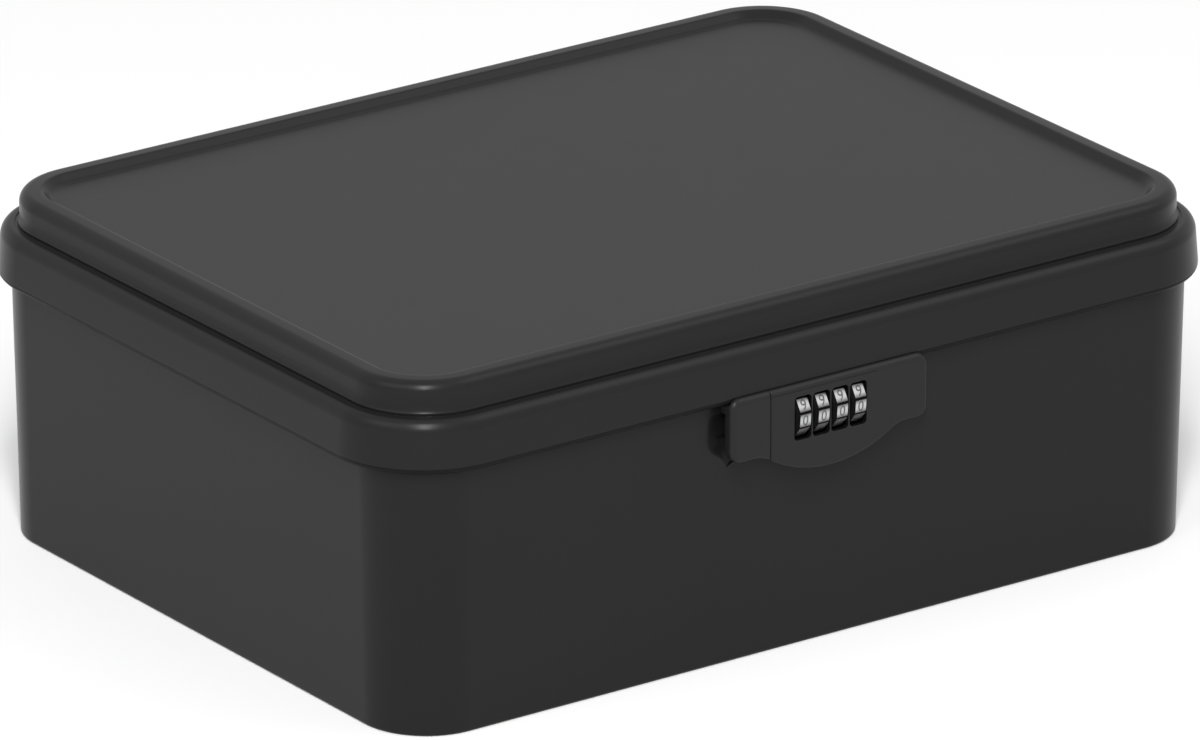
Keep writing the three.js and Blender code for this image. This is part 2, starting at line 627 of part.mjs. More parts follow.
/** A countersunk screw along Y with its flat head at the origin and its tip towards -Y. */
function sunkScrew(length) {
  const cone = BOLT_THICKNESS - 2 * GAP;
  const profile = [[0, 0], [SCREW_HEAD_RADIUS, 0], [SCREW_RADIUS, cone], [SCREW_RADIUS, length], [0, length]];
  const points = profile.map(([r, y]) => new THREE.Vector2(r, -y)).reverse();
  return new THREE.LatheGeometry(points, ROUND_STEPS);
}

/** A pan-head screw along Y: the head's seat is at the origin and the shank runs towards -Y. */
function panScrew(length) {
  const dome = 0.35 * SCREW_HEAD_RADIUS;
  const profile = [
    [0, SCREW_HEAD_HEIGHT], [SCREW_HEAD_RADIUS - dome, SCREW_HEAD_HEIGHT],
    [SCREW_HEAD_RADIUS, SCREW_HEAD_HEIGHT - dome], [SCREW_HEAD_RADIUS, 0],
    [SCREW_RADIUS, 0], [SCREW_RADIUS, -length], [0, -length],
  ];
  const points = profile.map(([r, y]) => new THREE.Vector2(r, y)).reverse();
  return new THREE.LatheGeometry(points, ROUND_STEPS);
}

/** One number wheel about its own axis: ten flats with a valley between each two, and a keyed bore. */
function dialWheel() {
  const outline = new THREE.Shape();
  const half = Math.PI / DIAL_NUMBERS;
  for (let number = 0; number < DIAL_NUMBERS; number++) {
    const middle = number * 2 * half;
    for (const [turn, radius] of [
      [-half * DIAL_FLAT_SHARE, DIAL_RADIUS], [0, DIAL_RADIUS],
      [half * DIAL_FLAT_SHARE, DIAL_RADIUS], [half, DIAL_RADIUS - DIAL_VALLEY],
    ]) {
      const u = radius * Math.cos(middle + turn);
      const v = radius * Math.sin(middle + turn);
      if (number === 0 && turn < 0) {
        outline.moveTo(u, v);
      } else {
        outline.lineTo(u, v);
      }
    }
  }
  outline.holes.push(keyedCircle(SLEEVE_RADIUS + GAP, KEY_WIDTH / 2 + GAP, KEY_HEIGHT));
  return slabX(outline, -DIAL_WIDTH / 2, DIAL_WIDTH / 2);
}

/** A circle with one key standing out of it. */
function keyedCircle(radius, keyHalfWidth, keyHeight) {
  const start = Math.asin(keyHalfWidth / radius);
  const outline = new THREE.Path();
  for (let step = 0; step <= ROUND_STEPS; step++) {
    const angle = start + (2 * Math.PI - 2 * start) * step / ROUND_STEPS;
    const u = radius * Math.cos(angle);
    const v = radius * Math.sin(angle);
    if (step === 0) {
      outline.moveTo(u, v);
    } else {
      outline.lineTo(u, v);
    }
  }
  outline.lineTo(radius + keyHeight, -keyHalfWidth);
  outline.lineTo(radius + keyHeight, keyHalfWidth);
  return outline;
}

/** The sleeve that keys a number wheel to the spindle's tumbler. */
function dialSleeve() {
  const outline = new THREE.Shape(keyedCircle(SLEEVE_RADIUS, KEY_WIDTH / 2, KEY_HEIGHT).getPoints());
  const bore = new THREE.Path();
  bore.absarc(0, 0, SPINDLE_RADIUS + GAP, 0, 2 * Math.PI);
  outline.holes.push(bore);
  return slabX(outline, -DIAL_WIDTH / 2, DIAL_WIDTH / 2);
}

function spindle() {
  return barX(SPINDLE_RADIUS, -EAR_OUTER, EAR_OUTER, 0, 0);
}

/** A strip of spring steel with one finger behind each dial. */
function detentLeaf() {
  const back = BAY_BACK_Y - GAP;
  const touch = DIAL_Y + DIAL_RADIUS + GAP;
  const foot = DIAL_Z - BAY_HALF_HEIGHT + GAP;
  const knee = foot + LEAF_FOOT_HEIGHT;
  const half = DIAL_ROW / 2;
  const strip = block(-half, half, back - LEAF_THICKNESS, back, foot, knee);
  const finger = new THREE.Shape();
  finger.moveTo(back - LEAF_THICKNESS, knee - 1);
  finger.lineTo(back, knee - 1);
  finger.lineTo(back, knee);
  finger.lineTo(touch + LEAF_THICKNESS, DIAL_Z);
  finger.lineTo(back, DIAL_Z + LEAF_FOOT_HEIGHT);
  finger.lineTo(back - LEAF_THICKNESS, DIAL_Z + LEAF_FOOT_HEIGHT);
  finger.lineTo(touch, DIAL_Z);
  finger.lineTo(back - LEAF_THICKNESS, knee);
  const fingers = [];
  for (let index = 0; index < DIAL_COUNT; index++) {
    const left = dialX(index) - LEAF_FINGER_WIDTH / 2;
    fingers.push(slabX(finger, left, left + LEAF_FINGER_WIDTH));
  }
  return shape([strip, ...fingers]);
}

/** The moulded housing screwed behind the front wall: bolt bay, dial bay and reset bay. */
function lockHousing() {
  const left = BOLT_BAY_LEFT - HOUSING_WALL;
  const right = RESET_BAY_RIGHT + HOUSING_WALL;
  const joined = [
    block(left, right, HOUSING_FRONT_Y, HOUSING_BACK_Y, HOUSING_BOTTOM, HOUSING_TOP),
    block(left - FLANGE_MARGIN, LOCK_SCREW_RIGHT + SCREW_HEAD_RADIUS + 2 * GAP,
      HOUSING_FRONT_Y, FLANGE_BACK_Y, HOUSING_BOTTOM, HOUSING_TOP),
  ];
  const cuts = [
    block(BOLT_BAY_LEFT, BOLT_BAY_RIGHT, HOUSING_FRONT_Y - 1, BAY_BACK_Y,
      HOUSING_BOTTOM + HOUSING_WALL, HOUSING_TOP - HOUSING_WALL),
    block(-BAY_HALF_WIDTH, BAY_HALF_WIDTH, HOUSING_FRONT_Y - 1, BAY_BACK_Y,
      DIAL_Z - BAY_HALF_HEIGHT, DIAL_Z + BAY_HALF_HEIGHT),
    block(RESET_BAY_LEFT, RESET_BAY_RIGHT, HOUSING_FRONT_Y - 1, BAY_BACK_Y,
      DIAL_Z - RESET_POCKET_HEIGHT / 2, DIAL_Z + RESET_POCKET_HEIGHT / 2),
    block(RESET_BAY_LEFT + GAP, RESET_BAY_RIGHT - GAP, BAY_BACK_Y - 1, HOUSING_BACK_Y + 1,
      DIAL_Z - RESET_KNOB / 2 - GAP, DIAL_Z + RESET_KNOB / 2 + GAP),
    block(TONGUE_LEFT - 2 * GAP, TONGUE_RIGHT + 2 * GAP,
      TONGUE_FRONT_Y - STRIKER_SLOT_GAP, TONGUE_BACK_Y + STRIKER_SLOT_GAP,
      HOUSING_TOP - HOUSING_WALL - 1, HOUSING_TOP + 1),
  ];
  for (const side of [-1, 1]) {
    const inner = side * (EAR_OUTER - EAR_THICKNESS);
    const outer = side * EAR_OUTER;
    const low = Math.min(inner, outer);
    joined.push(block(low, low + EAR_THICKNESS, DIAL_Y - EAR_REACH, HOUSING_FRONT_Y + 1,
      DIAL_Z - EAR_HALF_HEIGHT, DIAL_Z + EAR_HALF_HEIGHT));
    cuts.push(barX(SPINDLE_RADIUS + GAP, low - GAP, low + EAR_THICKNESS + GAP, DIAL_Y, DIAL_Z));
  }
  for (const [x, z] of lockScrewPlaces()) {
    cuts.push(barY(SCREW_HOLE_RADIUS, HOUSING_FRONT_Y - 1, HOUSING_BACK_Y + 1, x, z));
    cuts.push(barY(SCREW_HEAD_RADIUS + GAP, FLANGE_BACK_Y, HOUSING_BACK_Y + 1, x, z));
  }
  return shape(joined, cuts);
}

/** The small lever inside the box that frees the sleeves to set a new code, at its own middle. */
function resetLever() {
  const pad = block(-RESET_PAD / 2, RESET_PAD / 2, -RESET_PAD_THICKNESS - GAP, -GAP,
    -RESET_PAD / 2, RESET_PAD / 2);
  const knob = block(-RESET_KNOB / 2, RESET_KNOB / 2, -GAP - 1, HOUSING_WALL + RESET_KNOB_REACH,
    -RESET_KNOB / 2, RESET_KNOB / 2);
  return shape([pad, knob]);
}

/** The striker under the lid: a foot with two screw holes and a tongue with a notch for the bolt. */
function striker() {
  const middle = (TONGUE_LEFT + TONGUE_RIGHT) / 2;
  const tongueEnd = STEM_Z - BOLT_PIN / 2 - STRIKER_NOTCH_DEPTH;
  const joined = [
    block(middle - STRIKER_FOOT_WIDTH / 2, middle + STRIKER_FOOT_WIDTH / 2,
      TONGUE_FRONT_Y, TONGUE_FRONT_Y + STRIKER_FOOT_DEPTH, STRIKER_FOOT_Z, STRIKER_FOOT_TOP),
    block(TONGUE_LEFT, TONGUE_RIGHT, TONGUE_FRONT_Y, TONGUE_BACK_Y, tongueEnd, STRIKER_FOOT_TOP),
  ];
  const cuts = [
    block(TONGUE_RIGHT - STRIKER_NOTCH_DEPTH, TONGUE_RIGHT + 1, TONGUE_FRONT_Y - 1, TONGUE_BACK_Y + 1,
      STEM_Z - BOLT_PIN / 2 - GAP, STEM_Z + BOLT_PIN / 2 + GAP),
  ];
  for (const x of strikerScrewX()) {
    cuts.push(barZ(SCREW_HOLE_RADIUS, STRIKER_FOOT_Z - 1, STRIKER_FOOT_TOP + 1, x, STRIKER_SCREW_Y));
  }
  return shape(joined, cuts);
}

const boxBlack = { color: 0x232323, roughness: 0.55, metalness: 0 };
const lockBlack = { color: 0x2a2a2a, roughness: 0.5, metalness: 0 };
const innerBlack = { color: 0x1c1c1c, roughness: 0.65, metalness: 0 };
const plated = { color: 0xcfcfcf, roughness: 0.25, metalness: 1 };
const steel = { color: 0x9a9a9a, roughness: 0.4, metalness: 1 };
const springSteel = { color: 0x77777a, roughness: 0.35, metalness: 1 };
const sleeveGrey = { color: 0x8c8c88, roughness: 0.6, metalness: 0 };

const box = new THREE.Group();

/** Adds one named piece at a place, with its own material. */
function add(name, geometry, finish, position = [0, 0, 0], rotation = [0, 0, 0]) {
  const mesh = new THREE.Mesh(geometry, new THREE.MeshStandardMaterial(finish));
  mesh.name = name;
  mesh.position.set(...position);
  mesh.rotation.set(...rotation);
  box.add(mesh);
}

add('tub', tub(), boxBlack);
add('lid', lid(), boxBlack);
add('hinge_pin_left', hingePin(), steel, [-HINGE_SPREAD, HINGE_Y, HINGE_Z]);
add('hinge_pin_right', hingePin(), steel, [HINGE_SPREAD, HINGE_Y, HINGE_Z]);
add('lock_plate', lockPlate(), lockBlack);
add('release_slider', releaseSlider(), lockBlack);
add('lock_bolt', lockBolt(), steel);
add('slider_screw', sunkScrew(SLIDER_SCREW_LENGTH), steel, [STEM_X, BOLT_BACK_Y - GAP / 2, STEM_Z]);
add('lock_housing', lockHousing(), innerBlack);
add('dial_spindle', spindle(), steel, [0, DIAL_Y, DIAL_Z]);
add('detent_leaf', detentLeaf(), springSteel);
for (let index = 0; index < DIAL_COUNT; index++) {
  const place = [dialX(index), DIAL_Y, DIAL_Z];
  add(`dial_${index + 1}`, dialWheel(), plated, place);
  add(`dial_sleeve_${index + 1}`, dialSleeve(), sleeveGrey, place);
}
lockScrewPlaces().forEach(([x, z], index) => {
  add(`lock_screw_${index + 1}`, panScrew(LOCK_SCREW_LENGTH), steel, [x, FLANGE_BACK_Y + GAP / 2, z]);
});
add('code_reset_lever', resetLever(), innerBlack,
  [RESET_BAY_LEFT + RESET_PAD / 2 + GAP, BAY_BACK_Y, DIAL_Z]);
add('striker', striker(), steel);
strikerScrewX().forEach((x, index) => {
  add(`striker_screw_${index + 1}`, panScrew(STRIKER_SCREW_LENGTH), steel,
    [x, STRIKER_SCREW_Y, STRIKER_FOOT_Z - GAP / 2], [-Math.PI / 2, 0, 0]);
});

export default box;
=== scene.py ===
# %% [markdown]
# # A lockable plastic box
# The real object is a flat black moulded box. Its drafted tub carries a lid with a deep skirt
# and a raised tier, and the front holds a combination lock: a plate with four silver number
# wheels, and a slide that throws the bolt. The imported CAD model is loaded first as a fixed
# frame. Every finer piece that this script makes stands where its solid stands, and rides on
# the same moving body.

# %% Load the frame
import math

import bmesh
import bpy
from mathutils import Matrix, Vector


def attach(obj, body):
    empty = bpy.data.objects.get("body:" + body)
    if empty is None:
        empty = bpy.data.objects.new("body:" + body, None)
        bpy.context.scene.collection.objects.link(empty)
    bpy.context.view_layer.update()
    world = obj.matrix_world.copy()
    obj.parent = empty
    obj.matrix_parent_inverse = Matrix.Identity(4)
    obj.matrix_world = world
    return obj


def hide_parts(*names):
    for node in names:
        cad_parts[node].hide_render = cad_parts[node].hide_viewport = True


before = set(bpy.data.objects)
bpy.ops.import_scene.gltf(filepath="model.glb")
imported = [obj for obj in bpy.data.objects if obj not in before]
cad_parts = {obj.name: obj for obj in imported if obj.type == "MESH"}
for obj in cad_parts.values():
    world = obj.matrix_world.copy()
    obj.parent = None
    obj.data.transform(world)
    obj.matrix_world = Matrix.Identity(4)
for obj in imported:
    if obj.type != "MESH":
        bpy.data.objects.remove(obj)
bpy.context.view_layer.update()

# %% [markdown]
# ## The camera
# The photograph is a long-lens view from the front left, 21 degrees above the ground. A camera
# is described best by its three axes: to the right of the picture, up the picture, and back
# towards the viewer. They are turned into one matrix, so that nothing has to be aimed by eye.

# %% Camera
MM = 0.001
AZIMUTH = math.radians(-35.511)
ELEVATION = math.radians(20.980)
CAMERA_DISTANCE = 4250 * MM
AIM_RIGHT = 0.516 * MM
AIM_UP = 46.388 * MM
LENS = 432.69
SENSOR_WIDTH = 36
NEAREST, FARTHEST = 0.1, 60


def add_object(name, data):
    """A new object in the scene, at the origin, unturned and unscaled."""
    made = bpy.data.objects.new(name, data)
    bpy.context.scene.collection.objects.link(made)
    return made


back = Vector((math.sin(AZIMUTH) * math.cos(ELEVATION),
               -math.cos(AZIMUTH) * math.cos(ELEVATION),
               math.sin(ELEVATION)))
right = Vector((math.cos(AZIMUTH), math.sin(AZIMUTH), 0))
up = back.cross(right)

camera_data = bpy.data.cameras.new("photo_camera")
camera_data.sensor_width = SENSOR_WIDTH
camera_data.lens = LENS
camera_data.clip_start = NEAREST
camera_data.clip_end = FARTHEST
camera = add_object("photo_camera", camera_data)
camera.matrix_world = Matrix((right, up, back)).transposed().to_4x4()
camera.matrix_world.translation = back * CAMERA_DISTANCE + right * AIM_RIGHT + up * AIM_UP
bpy.context.scene.camera = camera
print("camera at", [round(v, 3) for v in camera.matrix_world.translation])

# %% [markdown]
# ## Helpers for materials
# Every finish is a small node tree on Object coordinates, so its grain is in metres and keeps
# its true size on each piece. A moulded plastic is never one flat gloss: the mould's polish
# varies a little, and the surface has a very fine, soft unevenness.

# %% Material helpers
def new_material(name):
    """A material with an empty node tree, its Principled shader and its coordinates."""
    material = bpy.data.materials.new(name)
    material.use_nodes = True
    tree = material.node_tree
    tree.nodes.clear()
    output = tree.nodes.new("ShaderNodeOutputMaterial")
    shader = tree.nodes.new("ShaderNodeBsdfPrincipled")
    tree.links.new(shader.outputs["BSDF"], output.inputs["Surface"])
    place = tree.nodes.new("ShaderNodeTexCoord").outputs["Object"]
    return material, tree, shader, place


def noise(tree, place, scale, detail=2.0, stretch=(1, 1, 1)):
    """Noise with features about 1 / scale metres across, drawn out along the axes by stretch."""
    mapping = tree.nodes.new("ShaderNodeMapping")
    mapping.inputs["Scale"].default_value = stretch
    texture = tree.nodes.new("ShaderNodeTexNoise")
    texture.inputs["Scale"].default_value = scale
    texture.inputs["Detail"].default_value = detail
    tree.links.new(place, mapping.inputs["Vector"])
    tree.links.new(mapping.outputs["Vector"], texture.inputs["Vector"])
    return texture.outputs["Fac"]


def between(tree, factor, low, high):
    """The factor from 0 to 1 turned into a value from low to high."""
    span = tree.nodes.new("ShaderNodeMapRange")
    span.inputs["To Min"].default_value = low
    span.inputs["To Max"].default_value = high
    tree.links.new(factor, span.inputs["Value"])
    return span.outputs["Result"]


def blend_colours(tree, factor, first, second):
    """Two colours mixed by the factor."""
    mix = tree.nodes.new("ShaderNodeMix")
    mix.data_type = "RGBA"
    mix.inputs["A"].default_value = (*first, 1)
    mix.inputs["B"].default_value = (*second, 1)
    tree.links.new(factor, mix.inputs["Factor"])
    return mix.outputs["Result"]


def bump(tree, shader, height, depth):
    """Unevenness of the given depth in metres, on the shader's normal."""
    node = tree.nodes.new("ShaderNodeBump")
    node.inputs["Distance"].default_value = depth
    tree.links.new(height, node.inputs["Height"])
    tree.links.new(node.outputs["Normal"], shader.inputs["Normal"])


PLASTIC_IOR = 1.25
TONE_PATCH = 60 * MM
GLOSS_PATCH = 9 * MM
DRAWN_LINE = 0.5 * MM
DRAWN_LINE_DEPTH = 0.004 * MM


def moulded_plastic(name, tones, gloss, grain, ior=PLASTIC_IOR):
    """Satin plastic: two near tones in soft patches, and a fine grain of (size, depth) in mm."""
    material, tree, shader, place = new_material(name)
    patches = noise(tree, place, 1 / TONE_PATCH, 3)
    roughness = between(tree, noise(tree, place, 1 / GLOSS_PATCH, 4), *gloss)
    tree.links.new(blend_colours(tree, patches, *tones), shader.inputs["Base Color"])
    tree.links.new(roughness, shader.inputs["Roughness"])
    bump(tree, shader, noise(tree, place, 1 / (grain[0] * MM), 4), grain[1] * MM)
    shader.inputs["IOR"].default_value = ior
    return material


def plain_metal(name, tones, gloss, stretch):
    """Metal with fine drawn lines and a slight change of tone along them."""
    material, tree, shader, place = new_material(name)
    shader.inputs["Metallic"].default_value = 1.0
    lines = noise(tree, place, 1 / DRAWN_LINE, 5, stretch)
    tree.links.new(blend_colours(tree, lines, *tones), shader.inputs["Base Color"])
    tree.links.new(between(tree, lines, *gloss), shader.inputs["Roughness"])
    bump(tree, shader, lines, DRAWN_LINE_DEPTH)
    return material

# %% [markdown]
# ## Painted shade by place
# Two finishes get painted shade by their place on the piece: the plastic in a hollow and the
# plating of the wheels. For these a finished material is taken up again. One coordinate is turned
# into a soft step, and the step mixes a darker tone, as painted shade, over the base colour that is
# already there.

# %% Helpers for shade by place
def open_material(material):
    """A finished material's tree, its shader, and the X, Y and Z of its Object coordinates."""
    tree = material.node_tree
    shader = next(node for node in tree.nodes if node.type == "BSDF_PRINCIPLED")
    split = tree.nodes.new("ShaderNodeSeparateXYZ")
    place = tree.nodes.new("ShaderNodeTexCoord").outputs["Object"]
    tree.links.new(place, split.inputs["Vector"])
    return tree, shader, split.outputs


def soft_step(tree, value, start, end, low=0.0, high=1.0):
    """A soft change from low to high while a value goes from start to end."""
    step = tree.nodes.new("ShaderNodeMapRange")
    step.interpolation_type = "SMOOTHSTEP"
    spans = {"From Min": start, "From Max": end, "To Min": low, "To Max": high}
    for label, number in spans.items():
        step.inputs[label].default_value = number
    tree.links.new(value, step.inputs["Value"])
    return step.outputs["Result"]


def tint(tree, shader, factor, tone):
    """Mixes a tone over the base colour that the shader already has."""
    colour = shader.inputs["Base Color"]
    mix = tree.nodes.new("ShaderNodeMix")
    mix.data_type = "RGBA"
    mix.inputs["B"].default_value = (*tone, 1)
    tree.links.new(factor, mix.inputs["Factor"])
    tree.links.new(colour.links[0].from_socket, mix.inputs["A"])
    tree.links.new(mix.outputs["Result"], colour)

# %% [markdown]
# ## The finishes
# The box is one satin black. The lock's plate is a tone lighter. The wheels are bright
# plating with dark filled numbers, and the steel inside is zinc plated. Two duller blacks are
# painted shade for places that light hardly reaches: a matte one, darker and without sheen, for the
# wheels' sides and the windows' walls, and a dull one, with the box's tones but little sheen, for
# the lid's lower edge and the slide's stem. The bolt's dark steel is painted shade too. Each finish
# is given as two tones, a range of roughness, and its grain or the direction of its drawn lines.

# %% Finishes
BOX_TONES = ((0.0106, 0.0106, 0.0108), (0.0120, 0.0120, 0.0122))
BOX_GLOSS = (0.29, 0.32)
BOX_GRAIN = (0.45, 0.002)

box_plastic = moulded_plastic("satin_black_plastic", BOX_TONES, BOX_GLOSS, BOX_GRAIN)
# Painted shade: the box's tones with little sheen, for the lid's lower edge and the slide's stem.
dull_shade_black = moulded_plastic("dull_black_plastic", BOX_TONES, (0.34, 0.40), BOX_GRAIN, ior=1.11)
# Painted shade: a darker black without sheen, for the windows' walls and the wheels' sides and
# valleys.
matte_shade_black = moulded_plastic(
    "matte_black_plastic", ((0.004, 0.004, 0.004), (0.007, 0.007, 0.007)),
    gloss=(0.60, 0.70), grain=(0.5, 0.01), ior=1.08)
lock_plastic = moulded_plastic(
    "lock_black_plastic", ((0.0150, 0.0150, 0.0152), (0.0172, 0.0172, 0.0174)),
    gloss=(0.30, 0.34), grain=(0.35, 0.002))
housing_plastic = moulded_plastic(
    "inner_black_plastic", ((0.020, 0.020, 0.021), (0.026, 0.026, 0.027)),
    gloss=(0.52, 0.62), grain=(0.6, 0.02))
sleeve_plastic = moulded_plastic(
    "grey_sleeve_plastic", ((0.38, 0.38, 0.36), (0.43, 0.43, 0.41)),
    gloss=(0.42, 0.5), grain=(0.4, 0.01))
number_paint = moulded_plastic(
    "number_paint", ((0.10, 0.10, 0.105), (0.15, 0.15, 0.155)),
    gloss=(0.45, 0.55), grain=(0.3, 0.004))
wheel_plating = plain_metal(
    "wheel_plating", ((0.46, 0.46, 0.465), (0.60, 0.60, 0.605)),
    gloss=(0.36, 0.44), stretch=(4, 0.5, 0.5))
zinc_steel = plain_metal(
    "zinc_plated_steel", ((0.42, 0.42, 0.43), (0.55, 0.55, 0.55)),
    gloss=(0.3, 0.42), stretch=(0.3, 1, 1))
# Painted shade: the bolt is given a dark steel, so that seen through the slot it stays as dark as
# the hollow's shade.
dark_shade_steel = plain_metal(
    "blackened_steel", ((0.10, 0.10, 0.102), (0.13, 0.13, 0.132)),
    gloss=(0.42, 0.52), stretch=(1, 1, 1))
spring_steel = plain_metal(
    "spring_steel", ((0.30, 0.30, 0.31), (0.38, 0.38, 0.39)),
    gloss=(0.25, 0.36), stretch=(1, 1, 0.2))
print("finishes:", len(bpy.data.materials))

# %% [markdown]
# ## CAD pieces that keep their shape
# The parts behind the lock's face are plain solids on the real box too. They keep their CAD
# shape and only take a finish.

# %% Finishes for the CAD pieces
CAD_FINISH = {
    "tub": box_plastic,
    "lid": box_plastic,
    "lock_plate": lock_plastic,
    "release_slider": lock_plastic,
    "lock_housing": housing_plastic,
    "code_reset_lever": housing_plastic,
    "detent_leaf": spring_steel,
    "lock_bolt": dark_shade_steel,
}
for name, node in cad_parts.items():
    if name.startswith("dial_sleeve"):
        finish = sleeve_plastic
    elif name.startswith("dial_") and name != "dial_spindle":
        finish = wheel_plating
    else:
        finish = CAD_FINISH.get(name, zinc_steel)
    node.data.materials.clear()
    node.data.materials.append(finish)
print("CAD pieces with a finish:", len(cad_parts))

# %% [markdown]
# ## The lid and the tub
# Both are moulded shells with one cross-section all the way round, so each could be drawn
# once as a line and swept round a rectangle with round corners. Geometry Nodes do that here:
# a Quadrilateral and Fillet Curve make the path, Curve to Mesh carries the section round it,
# and named inputs hold the sizes. The section itself is a short list of corners, each with
# the two distances over which it is rounded.

# %% Section lines
CORNER_TURNS = 28
ROUND_TURNS = 8


def section_line(corners):
    """Points in mm along a line of (inset, height, round before, round after) corners."""
    points = []
    for place, (inset, height, before, after) in enumerate(corners):
        corner = Vector((inset, height))
        if before == 0 or place in (0, len(corners) - 1):
            points.append(corner)
            continue
        to_last = Vector(corners[place - 1][:2]) - corner
        to_next = Vector(corners[place + 1][:2]) - corner
        start = to_last.normalized() * before
        end = to_next.normalized() * after
        for step in range(ROUND_TURNS + 1):
            turn = step / ROUND_TURNS * math.pi / 2
            points.append(corner + start * (1 - math.sin(turn)) + end * (1 - math.cos(turn)))
    return points


SKIRT_Z = 81.5
LID_SECTION = [
    (17.0, 102.85, 0, 0),
    (15.2, 102.85, 1.0, 1.0),
    (13.2, 105.05, 1.0, 1.0),
    (8.9, 105.05, 1.5, 1.5),
    (8.9, 95.3, 0.5, 0.5),
    (3.4, 95.3, 0.8, 0.8),
    (2.4, SKIRT_Z, 0.1, 0.1),
    (0.0, SKIRT_Z, 2.1, 2.4),
    (1.27, 97.5, 3.9, 3.0),
    (5.3, 97.5, 0.1, 0.1),
    (5.3, 97.2, 0.1, 0.1),
    (6.1, 97.2, 0.1, 0.1),
    (6.1, 98.1, 0.1, 0.1),
    (6.7, 99.05, 0.95, 1.2),
    (6.7, 106.92, 3.0, 3.0),
    (11.6, 107.25, 1.8, 1.1),
    (13.3, 107.25, 0.5, 0.5),
    (15.9, 105.05, 0.9, 0.9),
    (18.0, 105.05, 0, 0),
]
TUB_LENGTH = 289.0
TUB_WIDTH = 217.8
TUB_CORNER = 23.3
TUB_DRAFT = 0.0195


def tub_inset(own, height):
    """The tub's inset from its own outline at a height: its walls lean out towards the top."""
    return own + TUB_DRAFT * (SKIRT_Z - height)


TUB_SECTION = [(tub_inset(own, height), height, before, after) for own, height, before, after in (
    (17.0, 0.8, 0, 0),
    (13.8, 0.8, 0.3, 0.3),
    (13.0, 0.0, 0.3, 0.3),
    (0.0, 0.0, 0.9, 0.9),
    (0.0, 84.3, 0.3, 0.3),
    (0.9, 85.2, 0.3, 0.3),
    (0.9, 95.0, 0.5, 0.5),
    (2.4, 95.0, 0.5, 0.5),
    (2.4, 3.0, 2.4, 2.4),
    (9.0, 3.0, 0, 0),
)]
print("lid section points:", len(section_line(LID_SECTION)))

# %% Sweep tree
def geometry_tree(name, inputs):
    """A Geometry Nodes tree with named inputs of given kinds, and its input node."""
    tree = bpy.data.node_groups.new(name, "GeometryNodeTree")
    for label, kind in inputs.items():
        tree.interface.new_socket(label, in_out="INPUT", socket_type="NodeSocket" + kind)
    tree.interface.new_socket("Result", in_out="OUTPUT", socket_type="NodeSocketGeometry")
    return tree, tree.nodes.new("NodeGroupInput")


def end_tree(tree, given, geometry):
    """Ends a tree with real geometry in its material, because the export drops instances."""
    real = tree.nodes.new("GeometryNodeRealizeInstances")
    paint = tree.nodes.new("GeometryNodeSetMaterial")
    result = tree.nodes.new("NodeGroupOutput")
    tree.links.new(geometry, real.inputs["Geometry"])
    tree.links.new(real.outputs["Geometry"], paint.inputs["Geometry"])
    tree.links.new(given.outputs["Material"], paint.inputs["Material"])
    tree.links.new(paint.outputs["Geometry"], result.inputs["Result"])
    return tree


def sweep_tree():
    """A node tree that carries a section line round a rectangle with round corners."""
    tree, given = geometry_tree("sweep_round_box", {
        "Section": "Geometry", "Length": "Float", "Width": "Float", "Corner radius": "Float",
        "Corner turns": "Int", "Material": "Material",
    })
    nodes, link = tree.nodes, tree.links.new
    outline = nodes.new("GeometryNodeCurvePrimitiveQuadrilateral")
    rounded = nodes.new("GeometryNodeFilletCurve")
    upright = nodes.new("GeometryNodeSetCurveNormal")
    section = nodes.new("GeometryNodeMeshToCurve")
    sweep = nodes.new("GeometryNodeCurveToMesh")
    rounded.mode = "POLY"
    rounded.inputs["Limit Radius"].default_value = True
    upright.mode = "Z_UP"
    link(given.outputs["Length"], outline.inputs["Width"])
    link(given.outputs["Width"], outline.inputs["Height"])
    link(outline.outputs["Curve"], rounded.inputs["Curve"])
    link(given.outputs["Corner radius"], rounded.inputs["Radius"])
    link(given.outputs["Corner turns"], rounded.inputs["Count"])
    link(rounded.outputs["Curve"], upright.inputs["Curve"])
    link(given.outputs["Section"], section.inputs["Mesh"])
    link(upright.outputs["Curve"], sweep.inputs["Curve"])
    link(section.outputs["Curve"], sweep.inputs["Profile Curve"])
    return end_tree(tree, given, sweep.outputs["Mesh"])


sweep_round_box = sweep_tree()
print("nodes in the sweep tree:", len(sweep_round_box.nodes))

# %% From a tree to a plain mesh
def evaluated_mesh(host):
    """A new mesh of an object as its modifiers make it."""
    graph = bpy.context.evaluated_depsgraph_get()
    return bpy.data.meshes.new_from_object(host.evaluated_get(graph), depsgraph=graph)


def piece_from_tree(name, points, edges, tree, values):
    """A plain mesh that a tree makes on a host of points and edges in mm; the host goes."""
    mesh = bpy.data.meshes.new(name + "_host")
    mesh.from_pydata([[v * MM for v in point] for point in points], edges, [])
    host = add_object(name + "_host", mesh)
    modifier = host.modifiers.new(tree.name, "NODES")
    modifier.node_group = tree
    for item in tree.interface.items_tree:
        if item.in_out == "INPUT" and item.name in values:
            modifier[item.identifier] = values[item.name]
    made = evaluated_mesh(host)
    bpy.data.objects.remove(host)
    made.name = name
    return add_object(name, made)


SHARP = math.radians(35)
MERGE = 0.001 * MM
SWEEP_MERGE = 0.002 * MM


def tidy(piece, merge=MERGE, fill_rims=False):
    """Merges doubles, turns the faces outwards and shades the piece with sharp edges kept."""
    shape = bmesh.new()
    shape.from_mesh(piece.data)
    bmesh.ops.remove_doubles(shape, verts=shape.verts, dist=merge)
    if fill_rims:
        rims = [edge for edge in shape.edges if edge.is_boundary]
        bmesh.ops.holes_fill(shape, edges=rims, sides=0)
    bmesh.ops.recalc_face_normals(shape, faces=shape.faces)
    shape.to_mesh(piece.data)
    shape.free()
    piece.data.shade_smooth()
    piece.data.set_sharp_from_angle(angle=SHARP)

# %% Swept shells
LID_SIZE = (300.0, 226.0, 30.3)
TUB_SIZE = (TUB_LENGTH, TUB_WIDTH, TUB_CORNER)


